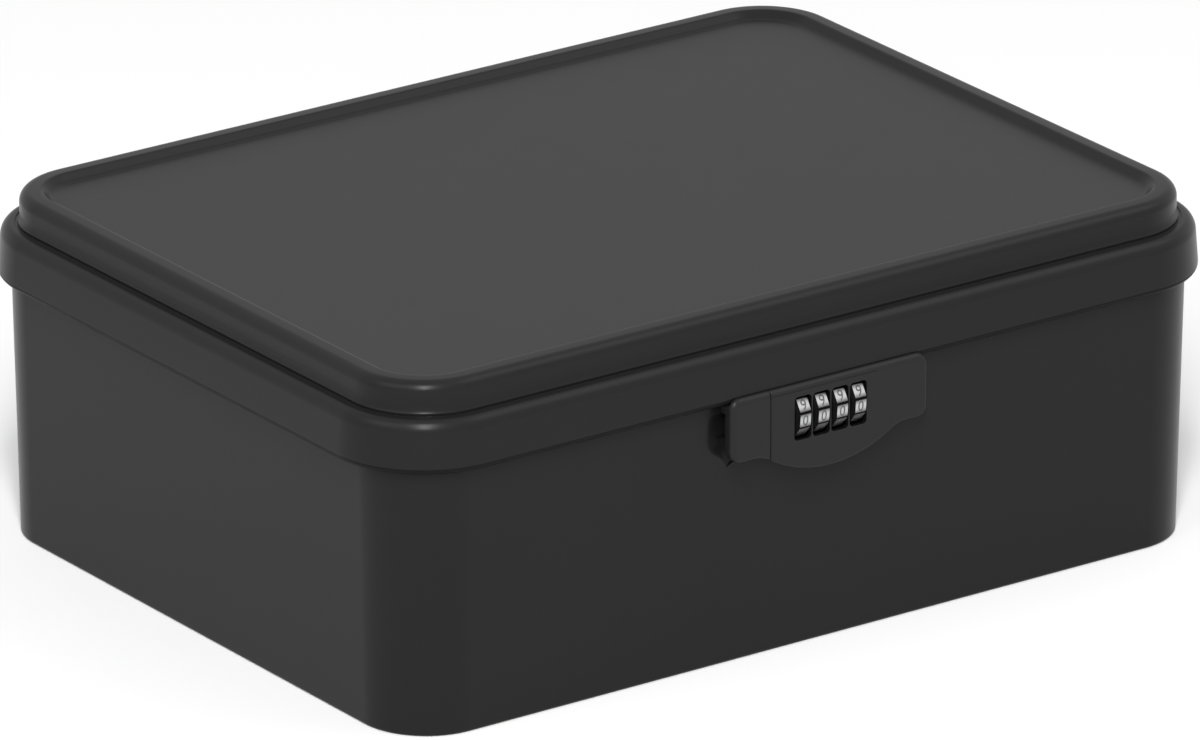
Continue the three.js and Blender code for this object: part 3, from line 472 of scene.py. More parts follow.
def swept_shell(name, corners, size, finish):
    """A closed shell: the section swept round an outline, its two open rims filled flat."""
    line = section_line(corners)
    length, width, corner = (v * MM for v in size)
    piece = piece_from_tree(
        name, [(-x, -z, 0) for x, z in line], [(k, k + 1) for k in range(len(line) - 1)],
        sweep_round_box, {"Length": length, "Width": width, "Corner radius": corner,
                          "Corner turns": CORNER_TURNS, "Material": finish})
    tidy(piece, SWEEP_MERGE, fill_rims=True)
    return piece


lid_piece = swept_shell("lid_shell", LID_SECTION, LID_SIZE, box_plastic)
tub_piece = swept_shell("tub_shell", TUB_SECTION, TUB_SIZE, box_plastic)
print("faces of lid and tub:", len(lid_piece.data.polygons), len(tub_piece.data.polygons))

# %% [markdown]
# ## Solid helpers
# The local shapes are drawn as flat outlines and given a thickness. An outline is a list of
# corners, each with the radius of its rounding, so that no corner of a moulding stays sharp.
# Joining and cutting is left to the exact boolean, because its result stays one closed body.

# %% Outlines and slabs
def rounded_outline(corners, turns=6):
    """Points round a closed outline of (u, v, radius) corners."""
    points = []
    for place, (u, v, radius) in enumerate(corners):
        corner = Vector((u, v))
        if radius == 0:
            points.append(corner)
            continue
        to_last = (Vector(corners[place - 1][:2]) - corner).normalized()
        to_next = (Vector(corners[(place + 1) % len(corners)][:2]) - corner).normalized()
        half = to_last.angle(to_next) / 2
        middle = corner + (to_last + to_next).normalized() * (radius / math.sin(half))
        start = corner + to_last * (radius / math.tan(half)) - middle
        end = corner + to_next * (radius / math.tan(half)) - middle
        for step in range(turns + 1):
            share = step / turns
            spoke = (start * math.sin((1 - share) * start.angle(end))
                     + end * math.sin(share * start.angle(end)))
            points.append(middle + spoke.normalized() * radius)
    return points


def mesh_piece(name, points, faces, finish):
    """A mesh object in metres from points in mm, with its normals turned outwards."""
    mesh = bpy.data.meshes.new(name)
    mesh.from_pydata([[v * MM for v in point] for point in points], [], faces)
    mesh.materials.append(finish)
    piece = add_object(name, mesh)
    tidy(piece)
    return piece


def rings_piece(name, rings, finish):
    """A closed body through rings of points, with a flat face on the first and the last."""
    count = len(rings[0])
    points = [point for ring in rings for point in ring]
    faces = [list(range(count)), list(range(len(points) - count, len(points)))]
    for level in range(len(rings) - 1):
        for k in range(count):
            low = level * count
            after = (k + 1) % count
            faces.append((low + k, low + after, low + count + after, low + count + k))
    return mesh_piece(name, points, faces, finish)


AXES = {"X": (1, 2, 0), "Y": (0, 2, 1), "Z": (0, 1, 2)}


def slab(name, outline, axis, start, end, finish):
    """A flat outline of (u, v) points, thick from start to end along an axis."""
    rings = []
    for level in (start, end):
        ring = []
        for u, v in outline:
            point = [0, 0, 0]
            for k, value in zip(AXES[axis], (u, v, level)):
                point[k] = value
            ring.append(point)
        rings.append(ring)
    return rings_piece(name, rings, finish)


def circle(u, v, radius, turns=48):
    """Points round a circle."""
    steps = [2 * math.pi * k / turns for k in range(turns)]
    return [(u + radius * math.cos(a), v + radius * math.sin(a)) for a in steps]


def box_outline(u0, u1, v0, v1, radius=0.0):
    """Points round a rectangle with round corners."""
    return rounded_outline([(u0, v0, radius), (u1, v0, radius), (u1, v1, radius), (u0, v1, radius)])

# %% Join, cut and place helpers
def settle(piece):
    """Works a piece's modifiers into its mesh."""
    mesh = evaluated_mesh(piece)
    piece.modifiers.clear()
    piece.data = mesh
    mesh.name = piece.name


def combine(piece, others, kind):
    """Joins or cuts other pieces with the exact boolean; the others go."""
    for other in others:
        modifier = piece.modifiers.new(kind.lower(), "BOOLEAN")
        modifier.operation = kind
        modifier.solver = "EXACT"
        modifier.object = other
    settle(piece)
    for other in others:
        bpy.data.objects.remove(other)
    tidy(piece)
    return piece


def paint_faces(piece, finish, chosen):
    """Gives a second finish to the faces whose middle in mm and normal pass a test."""
    piece.data.materials.append(finish)
    for face in piece.data.polygons:
        face.material_index = 1 if chosen(*(face.center / MM), face.normal) else 0


def even_normals(piece):
    """Keeps broad flat faces flat beside their small roundings, by weighting normals by area."""
    piece.modifiers.new("weights", "WEIGHTED_NORMAL").keep_sharp = True
    settle(piece)


def place_on(piece, nodes, body):
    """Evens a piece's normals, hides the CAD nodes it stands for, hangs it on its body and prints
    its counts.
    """
    even_normals(piece)
    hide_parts(*nodes)
    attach(piece, body)
    shape = bmesh.new()
    shape.from_mesh(piece.data)
    open_edges = sum(1 for edge in shape.edges if len(edge.link_faces) != 2)
    volume = shape.calc_volume(signed=True) / MM ** 3
    shape.free()
    low = [min(v.co[k] for v in piece.data.vertices) / MM for k in range(3)]
    high = [max(v.co[k] for v in piece.data.vertices) / MM for k in range(3)]
    print(piece.name, "faces", len(piece.data.polygons), "open edges", open_edges,
          "volume mm3", round(volume), "box", [round(v, 2) for v in low + high])

# %% [markdown]
# ## Hinges, and the openings in the tub
# At the back the lid hangs on two steel pins. The tub carries two lugs for each pin, each a
# barrel on a foot that grows out of the wall, and the lid's knuckle fits between them. At the
# front the wall is cut away behind the lock, and left of the slide it has a hollow that slopes
# in from the surface, which leaves room for the slide to be pushed. The hollow gets shallower
# towards its lower tip. Little light falls into it, so shade is painted into its finish: darker,
# and with less sheen, with depth.

# %% Hinge shapes
HINGE_Y = 113.0
HINGE_Z = 78.0
HINGE_SPREAD = 80.0
HINGE_BORE = 1.8
HINGE_BORE_REACH = 20
BARREL = 2.8
KNUCKLE = 17.0
KNUCKLE_ARM = 2.2
KNUCKLE_INSET = 1.27
KNUCKLE_TOP = 89.8
KNUCKLE_ARC = (math.pi, 2.2 * math.pi)
LUG = 8.0
LUG_FOOT = 10
LUG_SINK = 1.2
LUG_ARC = (-0.6, math.pi / 2)
GAP = 0.3


def arc(u, v, radius, first, last, turns=20):
    """Points along an arc, with angles in radians."""
    angles = [first + (last - first) * k / turns for k in range(turns + 1)]
    return [(u + radius * math.cos(a), v + radius * math.sin(a)) for a in angles]


def hinge_lug(x0, x1):
    """A barrel on a foot that runs down the tub's back wall."""
    wall = TUB_WIDTH / 2 - tub_inset(LUG_SINK, HINGE_Z)
    outline = [(wall, HINGE_Z + BARREL), (wall, HINGE_Z - BARREL - LUG_FOOT)]
    outline += arc(HINGE_Y, HINGE_Z, BARREL, *LUG_ARC)
    return slab("lug", outline, "X", x0, x1, box_plastic)


def lid_knuckle(x0, x1):
    """A barrel on an arm that runs up into the back of the lid's skirt."""
    outline = [(HINGE_Y - KNUCKLE_INSET, KNUCKLE_TOP), (HINGE_Y - KNUCKLE_ARM, KNUCKLE_TOP)]
    outline += arc(HINGE_Y, HINGE_Z, BARREL, *KNUCKLE_ARC)
    return slab("knuckle", outline, "X", x0, x1, box_plastic)


lugs, knuckles, tub_bores, lid_bores = [], [], [], []
for side in (-1, 1):
    middle = side * HINGE_SPREAD
    start = KNUCKLE / 2 + GAP
    lugs.append(hinge_lug(middle - start - LUG, middle - start))
    lugs.append(hinge_lug(middle + start, middle + start + LUG))
    knuckles.append(lid_knuckle(middle - KNUCKLE / 2, middle + KNUCKLE / 2))
    for bores in (tub_bores, lid_bores):
        bores.append(slab("bore", circle(HINGE_Y, HINGE_Z, HINGE_BORE), "X",
                          middle - HINGE_BORE_REACH, middle + HINGE_BORE_REACH, box_plastic))
print("lugs and knuckles:", len(lugs), len(knuckles))

# %% Openings in the tub
DIAL_Z = 73.1
POCKET_LEFT = -39.5
POCKET_RIGHT = -25.7
POCKET_TOP = 78.2
POCKET_TIP = (-32.8, 60.5)
POCKET_DEPTH = 1.4
POCKET_START = -1.2
POCKET_STEPS = 8
POCKET_TIP_SHARE = 0.35
POCKET_FULL_Z = 68.0
# Each corner's x, z and radius, and how far it moves in x and in z on the way to the floor.
POCKET_CORNERS = [
    (POCKET_RIGHT, POCKET_TOP, 0, 0, 0),
    (POCKET_LEFT, POCKET_TOP, 2.4, 6.4, -0.6),
    (POCKET_LEFT, 67.8, 5.0, 6.4, 0),
    (*POCKET_TIP, 0.4, 2.0, 1.5),
    (-28.0, 63.4, 0.5, 0, 0),
    (POCKET_RIGHT, 63.4, 0, 0, 0),
]
STEM_SLOT = [(-25.7, 76.2, 0), (-35.3, 76.2, 1.0), (-35.3, 69.6, 1.0), (-25.7, 69.6, 0)]
BAY = (-15.6, 15.6, 64.9, 81.3)
THROUGH_WALL = (-112, -104)
SCREW_HOLE = 1.4
SCREW_PLACES = [(x, DIAL_Z + z) for x in (-18.32, 29.6) for z in (-6.0, 6.0)]


def wall_front(z):
    """Where the tub's front wall stands at a height."""
    return tub_inset(0, z) - TUB_WIDTH / 2


def floor_share(z):
    """How much of the full depth the hollow has at a height: its floor rises towards the tip."""
    rise = (z - POCKET_TIP[1]) / (POCKET_FULL_Z - POCKET_TIP[1])
    return POCKET_TIP_SHARE + (1 - POCKET_TIP_SHARE) * min(1, max(0, rise))


def pocket_ring(depth, share):
    """The hollow's outline at a depth below the wall: its left side and its tip slope inwards."""
    outline = rounded_outline([(x + move_x * share, z + move_z * share, radius)
                               for x, z, radius, move_x, move_z in POCKET_CORNERS], turns=10)
    return [(u, wall_front(v) + depth * floor_share(v), v) for u, v in outline]


pocket_rings = [pocket_ring(POCKET_START, 0.0)]
for step in range(POCKET_STEPS + 1):
    slope = math.acos(1 - 2 * step / POCKET_STEPS) / math.pi
    pocket_rings.append(pocket_ring(POCKET_DEPTH * step / POCKET_STEPS, slope))
wall_cuts = [
    rings_piece("pocket", pocket_rings, box_plastic),
    slab("stem_slot", rounded_outline(STEM_SLOT), "Y", *THROUGH_WALL, box_plastic),
    slab("bay", box_outline(*BAY), "Y", *THROUGH_WALL, box_plastic),
]
wall_cuts += [slab("hole", circle(x, z, SCREW_HOLE), "Y", *THROUGH_WALL, box_plastic)
              for x, z in SCREW_PLACES]
print("openings in the front wall:", len(wall_cuts))

# %% The lid's screw bosses
BOSS_X = (-38.1, -22.1)
BOSS_Y = -98.4
BOSS_RADIUS = 3.0
BOSS_HEIGHTS = (97.4, 103.9)
BOSS_BORE_HEIGHTS = (96.0, 102.8)
bosses = [slab("boss", circle(x, BOSS_Y, BOSS_RADIUS), "Z", *BOSS_HEIGHTS, box_plastic)
          for x in BOSS_X]
boss_bores = [slab("boss_bore", circle(x, BOSS_Y, SCREW_HOLE), "Z", *BOSS_BORE_HEIGHTS, box_plastic)
              for x in BOSS_X]

# %% Join, cut and place
# Painted shade in the hollow: where it starts and is full, its dark tone and lower sheen, and the
# faces it covers.
HOLLOW_SURFACE, HOLLOW_DEEP = -108.4, -106.5
HOLLOW_SHADE_TONE = (0.009, 0.009, 0.009)
HOLLOW_SHADE_IOR = 1.12
HOLLOW_X = (POCKET_LEFT, -25.2)
HOLLOW_Z = (59.5, 78.5)
HOLLOW_FLOOR = -106.4
WALL_SKIN = 0.02
# Where the painted shade on the lid's lower rounding lies.
SHADED_EDGE_HEIGHTS = (SKIRT_Z - 0.1, SKIRT_Z + 2.6)
FACING_DOWN = -0.08


def darken_with_depth(material):
    """Paints shade into a plastic with depth: its tone and its sheen go, as in a hollow without
    light.
    """
    tree, shader, axes = open_material(material)
    depth = soft_step(tree, axes["Y"], HOLLOW_SURFACE * MM, HOLLOW_DEEP * MM)
    tint(tree, shader, depth, HOLLOW_SHADE_TONE)
    tree.links.new(between(tree, depth, PLASTIC_IOR, HOLLOW_SHADE_IOR), shader.inputs["IOR"])


def in_hollow(x, y, z, normal):
    """Whether a face of the tub lies in the hollow, where shade is painted."""
    inside = HOLLOW_X[0] < x < HOLLOW_X[1] and HOLLOW_Z[0] < z < HOLLOW_Z[1]
    return inside and wall_front(z) + WALL_SKIN < y < HOLLOW_FLOOR


def on_lower_edge(x, y, z, normal):
    """Whether a face of the lid lies in the lower rounding of its skirt, which is painted as shade.
    """
    return SHADED_EDGE_HEIGHTS[0] < z < SHADED_EDGE_HEIGHTS[1] and normal.z < FACING_DOWN


combine(tub_piece, lugs, "UNION")
combine(tub_piece, tub_bores + wall_cuts, "DIFFERENCE")
# Painted shade: the hollow's faces get a plastic that darkens and loses its sheen with depth.
hollow_shade_plastic = moulded_plastic("hollow_black_plastic", BOX_TONES, BOX_GLOSS, BOX_GRAIN)
darken_with_depth(hollow_shade_plastic)
paint_faces(tub_piece, hollow_shade_plastic, in_hollow)
combine(lid_piece, knuckles + bosses, "UNION")
combine(lid_piece, lid_bores + boss_bores, "DIFFERENCE")
# Painted shade: the skirt's lower rounding loses its sheen and reads as the dark gap beneath the
# lid.
paint_faces(lid_piece, dull_shade_black, on_lower_edge)
place_on(tub_piece, ["tub"], "box")
place_on(lid_piece, ["lid"], "lid_body")

# %% [markdown]
# ## The lock's face
# The face is one smooth outline in two parts: a fixed plate with four windows, and the slide at
# its left. Every outer edge is softly rounded. The rounding is made by stepping the outline
# inwards a little at each level, so it follows the bowed lower edge too. It is larger at the top
# and at the left, where the real edge catches a broad band of light. The edges along the
# split between the two parts get a smaller rounding, and together they read as a fine groove.

# %% Face outline
PLATE_Y = -114.9
PLATE_TOP = 83.4
PLATE_BOTTOM = 64.0
PLATE_LEFT = -21.15
PLATE_RIGHT = 34.5
SLIDER_LEFT = -35.0
SLIDER_RIGHT = -21.25
FACE_CORNER = 3.2
BOW_RADIUS = 41.7
BOW_DEPTH = 7.75
BOW_FILLET = 2.6
CORNER_TURNS_ON_FACE = 10
BOW_TURNS = 40
NEAR_SPLIT = 0.8
ON_SPLIT = 1e-4
SPLIT_SHARES = (0.14, 0.86)


def face_outline():
    """Points in x and z round the plate and the slide together."""
    r, turns = FACE_CORNER, CORNER_TURNS_ON_FACE
    bow_z = PLATE_BOTTOM - BOW_DEPTH + BOW_RADIUS
    bow_half = math.sqrt(BOW_RADIUS ** 2 - (bow_z - PLATE_BOTTOM) ** 2)
    bow_angle = math.asin((bow_half - BOW_FILLET) / BOW_RADIUS)
    bow_end_z = bow_z - BOW_RADIUS * math.cos(bow_angle)
    left_end = (-bow_half + BOW_FILLET, bow_end_z)
    down = -math.pi / 2
    bow = arc(0, bow_z, BOW_RADIUS, down - bow_angle, down + bow_angle, BOW_TURNS)
    points = arc(SLIDER_LEFT + r, PLATE_TOP - r, r, math.pi / 2, math.pi, turns)
    points += arc(SLIDER_LEFT + r, PLATE_BOTTOM + r, r, math.pi, 1.5 * math.pi, turns)
    points += soft_bend((-bow_half - BOW_FILLET, PLATE_BOTTOM), (-bow_half, PLATE_BOTTOM), left_end)
    points += bow[1:-1]
    points += soft_bend((-left_end[0], left_end[1]), (bow_half, PLATE_BOTTOM),
                        (bow_half + BOW_FILLET, PLATE_BOTTOM))
    points += arc(PLATE_RIGHT - r, PLATE_BOTTOM + r, r, down, 0, turns)
    points += arc(PLATE_RIGHT - r, PLATE_TOP - r, r, 0, math.pi / 2, turns)
    return [Vector(point) for point in points]


def soft_bend(start, corner, end, turns=8):
    """Points along a bend from start to end, drawn towards a corner."""
    start, corner, end = Vector(start), Vector(corner), Vector(end)
    steps = [k / turns for k in range(turns + 1)]
    return [start * (1 - t) ** 2 + corner * 2 * t * (1 - t) + end * t ** 2 for t in steps]


def keep_side(points, x, sign):
    """The part of an outline on one side of an upright line, with two more points on the line."""
    kept = []
    for place, point in enumerate(points):
        last = points[place - 1]
        inside, was_inside = sign * (point[0] - x) >= 0, sign * (last[0] - x) >= 0
        if inside != was_inside:
            kept.append(last.lerp(point, (x - last[0]) / (point[0] - last[0])))
        if inside and abs(point[0] - x) > NEAR_SPLIT:
            kept.append(point)
    for place, point in enumerate(kept):
        after = kept[(place + 1) % len(kept)]
        if max(abs(point[0] - x), abs(after[0] - x)) < ON_SPLIT:
            between_ends = [point.lerp(after, share) for share in SPLIT_SHARES]
            return kept[:place + 1] + between_ends + kept[place + 1:]


def side_normals(points):
    """The outward normal of each side of a closed outline."""
    area = sum(a[0] * b[1] - a[1] * b[0] for a, b in zip(points, points[1:] + points[:1]))
    turn = 1 if area > 0 else -1
    sides = [(points[(k + 1) % len(points)] - point).normalized() for k, point in enumerate(points)]
    return [Vector((side[1], -side[0])) * turn for side in sides]


PARALLEL = 0.5


def stepped_in(points, insets):
    """An outline moved inwards, each side by its own amount."""
    normals = side_normals(points)
    moved = []
    for place, point in enumerate(points):
        n1, n2 = normals[place - 1], normals[place]
        a, b = insets[place - 1], insets[place]
        cross = n1[0] * n2[1] - n1[1] * n2[0]
        if abs(cross) < PARALLEL:
            shift = (n1 + n2).normalized() * (a + b) / 2
        else:
            shift = Vector(((a * n2[1] - b * n1[1]) / cross, (b * n1[0] - a * n2[0]) / cross))
        moved.append(point - shift)
    return moved


# %% Rounded front
EDGE = 0.9
TOP_EDGE = 2.4
LEFT_EDGE = 2.2
EDGE_REACH = 1.72
EDGE_STEPS = 8
SPLIT_EDGE = 0.5
LIP_BACK = -113.08
BACKING_X = (-60, 60)
BACKING_Y = -90
BACKING_Z = (50, 90)


def edge_radius(normal):
    """The rounding of an outer edge that faces a way: larger at the top and at the left."""
    up, left = max(0.0, normal[1]) ** 2, max(0.0, -normal[0]) ** 2
    return EDGE + (TOP_EDGE - EDGE) * up + (LEFT_EDGE - EDGE) * left


def rounded_face(name, points, split_x, back_y, finish):
    """A slab with its front at the face's level and all its front edges rounded."""
    radii = []
    for place, normal in enumerate(side_normals(points)):
        ends = (points[place][0], points[(place + 1) % len(points)][0])
        on_split = max(abs(x - split_x) for x in ends) < ON_SPLIT
        radii.append(SPLIT_EDGE if on_split else edge_radius(normal))
    depths = [min(EDGE_REACH, max(radii[place - 1], radius)) for place, radius in enumerate(radii)]
    rings = []
    for step in range(EDGE_STEPS + 1):
        turn = step / EDGE_STEPS * math.pi / 2
        ring = stepped_in(points, [radius * (1 - math.sin(turn)) for radius in radii])
        rings.append([(u, PLATE_Y + depth * (1 - math.cos(turn)), v)
                      for (u, v), depth in zip(ring, depths)])
    rings.append([(u, back_y, v) for u, v in points])
    return rings_piece(name, rings, finish)


def wall_backing():
    """The space behind the tub's leaning front wall, with the gap that the plate keeps to it."""
    low, high = BACKING_Z
    outline = [(wall_front(low) - GAP, low), (BACKING_Y, low), (BACKING_Y, high),
               (wall_front(high) - GAP, high)]
    return slab("backing", outline, "X", *BACKING_X, lock_plastic)


def skirt_backing():
    """The space behind the lid's skirt, close behind the face's upper lip."""
    outline = box_outline(LIP_BACK, BACKING_Y, SKIRT_Z - GAP, BACKING_Z[1])
    return slab("skirt_backing", outline, "X", *BACKING_X, lock_plastic)

# %% Plate with its windows
DIAL_PITCH = 6.56
DIAL_X = [(k - 1.5) * DIAL_PITCH for k in range(4)]
WINDOW_HALF = (3.0, 6.7)
WINDOW_CORNER = 1.2
# How far each level of a window lies behind the plate's front, and how much wider it is there.
WINDOW_LEVELS = ((-0.5, 0.60), (0.0, 0.10), (0.1, 0.0), (2.4, 0.0))
WINDOW_WALL_HALF = (13.2, 7.0)
WINDOW_WALL_DEPTHS = (0.12, 2.0)
PLATE_BACK = -106.0
BEHIND_PLATE = (PLATE_Y + 1.6, -100)
FINE_LINE = (-20.9, 16.3, 81.62, 81.84)
FINE_LINE_DEPTH = 0.20
SIDEWAYS = 0.5


def window_cutter(x):
    """A round-cornered window, opened a little wider at the very front."""
    rings = []
    for behind, wider in WINDOW_LEVELS:
        wide, high = (half + wider for half in WINDOW_HALF)
        outline = box_outline(x - wide, x + wide, DIAL_Z - high, DIAL_Z + high, WINDOW_CORNER)
        rings.append([(u, PLATE_Y + behind, v) for u, v in outline])
    return rings_piece("window", rings, lock_plastic)


def on_window_wall(x, y, z, normal):
    """Whether a face of the plate is a wall of one of the windows, which is painted as shade."""
    near = abs(x) < WINDOW_WALL_HALF[0] and abs(z - DIAL_Z) < WINDOW_WALL_HALF[1]
    shallow, deep = (PLATE_Y + depth for depth in WINDOW_WALL_DEPTHS)
    return near and shallow < y < deep and abs(normal.y) < SIDEWAYS


plate_outline = keep_side(face_outline(), PLATE_LEFT, 1)
plate_piece = rounded_face("lock_plate_face", plate_outline, PLATE_LEFT, PLATE_BACK, lock_plastic)
plate_cuts = [wall_backing(), skirt_backing()]
plate_cuts.append(slab("bay", box_outline(*BAY), "Y", *BEHIND_PLATE, lock_plastic))
plate_cuts += [window_cutter(x) for x in DIAL_X]
plate_cuts.append(slab("line", box_outline(*FINE_LINE), "Y", PLATE_Y - 1, PLATE_Y + FINE_LINE_DEPTH,
                       lock_plastic))
plate_cuts += [slab("hole", circle(x, z, SCREW_HOLE, 32), "Y", *BEHIND_PLATE, lock_plastic)
               for x, z in SCREW_PLACES]
combine(plate_piece, plate_cuts, "DIFFERENCE")
# Painted shade: the windows' walls take the near-black matte.
paint_faces(plate_piece, matte_shade_black, on_window_wall)
place_on(plate_piece, ["lock_plate"], "box")

# %% Slide with its stem
SLIDE_BACK = -111.5
STEM = (-32.0, -26.0, 70.0, 75.8)
STEM_CORNER = 0.3
STEM_REACH = (-112.5, -105.7)
SHOULDER = (-34.95, -22.5, 78.4, 81.2)
SHOULDER_CORNER = 0.5
SHOULDER_REACH = (-112.5, -109.15)
SLIDE_SCREW = (-30.2, 73.0)
SLIDE_BORE_REACH = (-109.3, -104)
STEM_SHADE_FRONT = -111.45
STEM_SHADE_TOP = STEM[3] + 0.5


def on_stem(x, y, z, normal):
    """Whether a face of the slide lies on its stem or on its back, which is painted as shade."""
    return y > STEM_SHADE_FRONT and z < STEM_SHADE_TOP


slide_outline = keep_side(face_outline(), SLIDER_RIGHT, -1)
slide_piece = rounded_face("release_slide_face", slide_outline, SLIDER_RIGHT, SLIDE_BACK,
                           lock_plastic)
stem = slab("stem", box_outline(*STEM, STEM_CORNER), "Y", *STEM_REACH, lock_plastic)
shoulder = slab("shoulder", box_outline(*SHOULDER, SHOULDER_CORNER), "Y", *SHOULDER_REACH,
                lock_plastic)
combine(slide_piece, [stem, shoulder], "UNION")
stem_bore = slab("bore", circle(*SLIDE_SCREW, SCREW_HOLE, 32), "Y", *SLIDE_BORE_REACH, lock_plastic)
combine(slide_piece, [skirt_backing(), stem_bore], "DIFFERENCE")
# Painted shade: the stem and the slide's back lose their sheen, so they stay dark in the hollow.
paint_faces(slide_piece, dull_shade_black, on_stem)
place_on(slide_piece, ["release_slider"], "release")

# %% [markdown]
# ## The number wheels
# Each wheel is a black ring with ten flat number faces and a small valley between each two.
# The faces are plated, while the valleys and the sides are a near-black matte, painted shade where
# the windows and the gaps shade them. The ring is one closed strip swept round the axle. Both rims
# are rounded, and the left one is wider. Shade is painted into the plating: it is brightest along
# the middle of each face and painted darker towards the valleys, as light falls on a face that is
# slightly domed.
# The numbers are text objects made into thin solid plates that lie in the faces, and they are dark
# grey, as worn ink in an engraving is.

# %% Wheel body
DIAL_Y = -108.2
WHEEL_WIDTH = 5.3
LEFT_RIM, RIGHT_RIM, RIM_DROP = 1.15, 0.4, 0.6
RIM_STEPS = 4
FACE_RADIUS = 7.42
FACE_SHARE = 0.84
VALLEY_DEPTH = 0.45
NUMBERS = 10
STEPS_PER_NUMBER = 25
WHEEL_TURN = math.radians(-5.0)
BORE = 4.5
KEY_HALF_WIDTH = 1.0
KEY_HEIGHT = 0.9
# Painted shade on the plating: where it starts and is full across each face, and its dark tone.
CROWN_BRIGHT, CROWN_DARK = 0.08, 0.50
CROWN_SHADE_TONE = (0.07, 0.07, 0.072)


def face_share(angle):
    """How far an angle is from the middle of its number face, from 0 to 1 at the valley."""
    return abs(((angle - WHEEL_TURN) / (2 * math.pi) * NUMBERS + 0.5) % 1 - 0.5) * 2


def wheel_radius(angle):
    """The wheel's radius at an angle: flat over each number face, with a valley between."""
    share = face_share(angle)
    half = math.pi / NUMBERS
    face = FACE_RADIUS / math.cos(min(share, FACE_SHARE) * half)
    return face - VALLEY_DEPTH * max(0.0, (share - FACE_SHARE) / (1 - FACE_SHARE))


def bore_radius(angle):
    """The bore's radius at an angle, with its key way at the back."""
    if math.cos(angle) < 0 and abs(BORE * math.sin(angle)) <= KEY_HALF_WIDTH:
        return (BORE + KEY_HEIGHT) / abs(math.cos(angle))
    return BORE


def shade_crowns(material):
    """Paints shade into a wheel's plating: bright along the middle of each number face, darker at
    its ends.
    """
    tree, shader, axes = open_material(material)

    def maths(operation, *values):
        """A Math node on sockets and plain numbers."""
        node = tree.nodes.new("ShaderNodeMath")
        node.operation = operation
        for socket, value in zip(node.inputs, values):
            if isinstance(value, float):
                socket.default_value = value
            else:
                tree.links.new(value, socket)
        return node.outputs["Value"]

    out = maths("SUBTRACT", DIAL_Y * MM, axes["Y"])
    up = maths("SUBTRACT", axes["Z"], DIAL_Z * MM)
    turns = NUMBERS / (2 * math.pi)
    angle = maths("MULTIPLY_ADD", maths("ARCTAN2", up, out), turns, 0.5 - WHEEL_TURN * turns)
    from_middle = maths("ABSOLUTE", maths("SUBTRACT", maths("FRACT", angle), 0.5))
    tint(tree, shader, soft_step(tree, from_middle, CROWN_BRIGHT, CROWN_DARK), CROWN_SHADE_TONE)


# Painted shade: the plating darkens from the middle of each face towards its valleys.
shade_crowns(wheel_plating)


def wheel_body(name, x):
    """A ring about the axle at x: its number faces are plated, and the rest is near black as
    painted shade.
    """
    half = WHEEL_WIDTH / 2
    turns = [step / RIM_STEPS * math.pi / 2 for step in range(RIM_STEPS + 1)]
    rim = [(-half + LEFT_RIM * (1 - math.cos(a)), RIM_DROP * (math.sin(a) - 1)) for a in turns]
    far_rim = [(half - RIGHT_RIM * (1 - math.cos(a)), RIM_DROP * (math.sin(a) - 1)) for a in turns]
    section = rim + far_rim[::-1]
    count = NUMBERS * STEPS_PER_NUMBER
    points = []
    for k in range(count):
        angle = WHEEL_TURN + 2 * math.pi * k / count
        outer, inner = wheel_radius(angle), bore_radius(angle)
        spokes = [(u, outer + v) for u, v in section] + [(half, inner), (-half, inner)]
        points += [(x + u, DIAL_Y - radius * math.cos(angle), DIAL_Z + radius * math.sin(angle))
                   for u, radius in spokes]
    size = len(section) + 2
    faces = []
    for k in range(count):
        for j in range(size):
            low, high, after = k * size, (k + 1) % count * size, (j + 1) % size
            faces.append((low + j, low + after, high + after, high + j))
    wheel = mesh_piece(name, points, faces, wheel_plating)
    # Painted shade: every face but the plated number faces takes the near-black matte.
    wheel.data.materials.append(matte_shade_black)
    for place, face in enumerate(wheel.data.polygons):
        middle = WHEEL_TURN + 2 * math.pi * (place // size + 0.5) / count
        on_face = place % size == len(rim) - 1 and face_share(middle) < FACE_SHARE
        face.material_index = 0 if on_face else 1
    return wheel

# %% Numbers on the wheels
NUMBER_HEIGHT = 3.3
NUMBER_NARROWING = 0.92
NUMBER_DEPTH = 0.12
NUMBER_PROUD = 0.015
DIGIT_TURNS = 3
DIGIT_WEIGHT = 0.006
DIGIT_MERGE = 0.0005
DIGIT_FLAT = 0.01


def number_plate(digit):
    """One digit in mm about its own middle and one unit thick, from a text object."""
    curve = bpy.data.curves.new("digit", "FONT")
    curve.body = str(digit)
    curve.size = 1.0
    curve.resolution_u = DIGIT_TURNS
    curve.offset = DIGIT_WEIGHT
    host = add_object("digit", curve)
    mesh = evaluated_mesh(host)
    bpy.data.objects.remove(host)
    low = [min(v.co[k] for v in mesh.vertices) for k in (0, 1)]
    high = [max(v.co[k] for v in mesh.vertices) for k in (0, 1)]
    scale = NUMBER_HEIGHT / (high[1] - low[1])
    shape = bmesh.new()
    shape.from_mesh(mesh)
    bpy.data.meshes.remove(mesh)
    bmesh.ops.remove_doubles(shape, verts=shape.verts, dist=DIGIT_MERGE)
    bmesh.ops.dissolve_limit(shape, angle_limit=DIGIT_FLAT, verts=shape.verts, edges=shape.edges)
    bmesh.ops.triangulate(shape, faces=shape.faces)
    for vert in shape.verts:
        vert.co.x = (vert.co.x - (low[0] + high[0]) / 2) * scale * NUMBER_NARROWING
        vert.co.y = (vert.co.y - (low[1] + high[1]) / 2) * scale
        vert.co.z = 0
    made = bmesh.ops.extrude_face_region(shape, geom=shape.faces)
    for item in made["geom"]:
        if isinstance(item, bmesh.types.BMVert):
            item.co.z = 1.0
    return shape


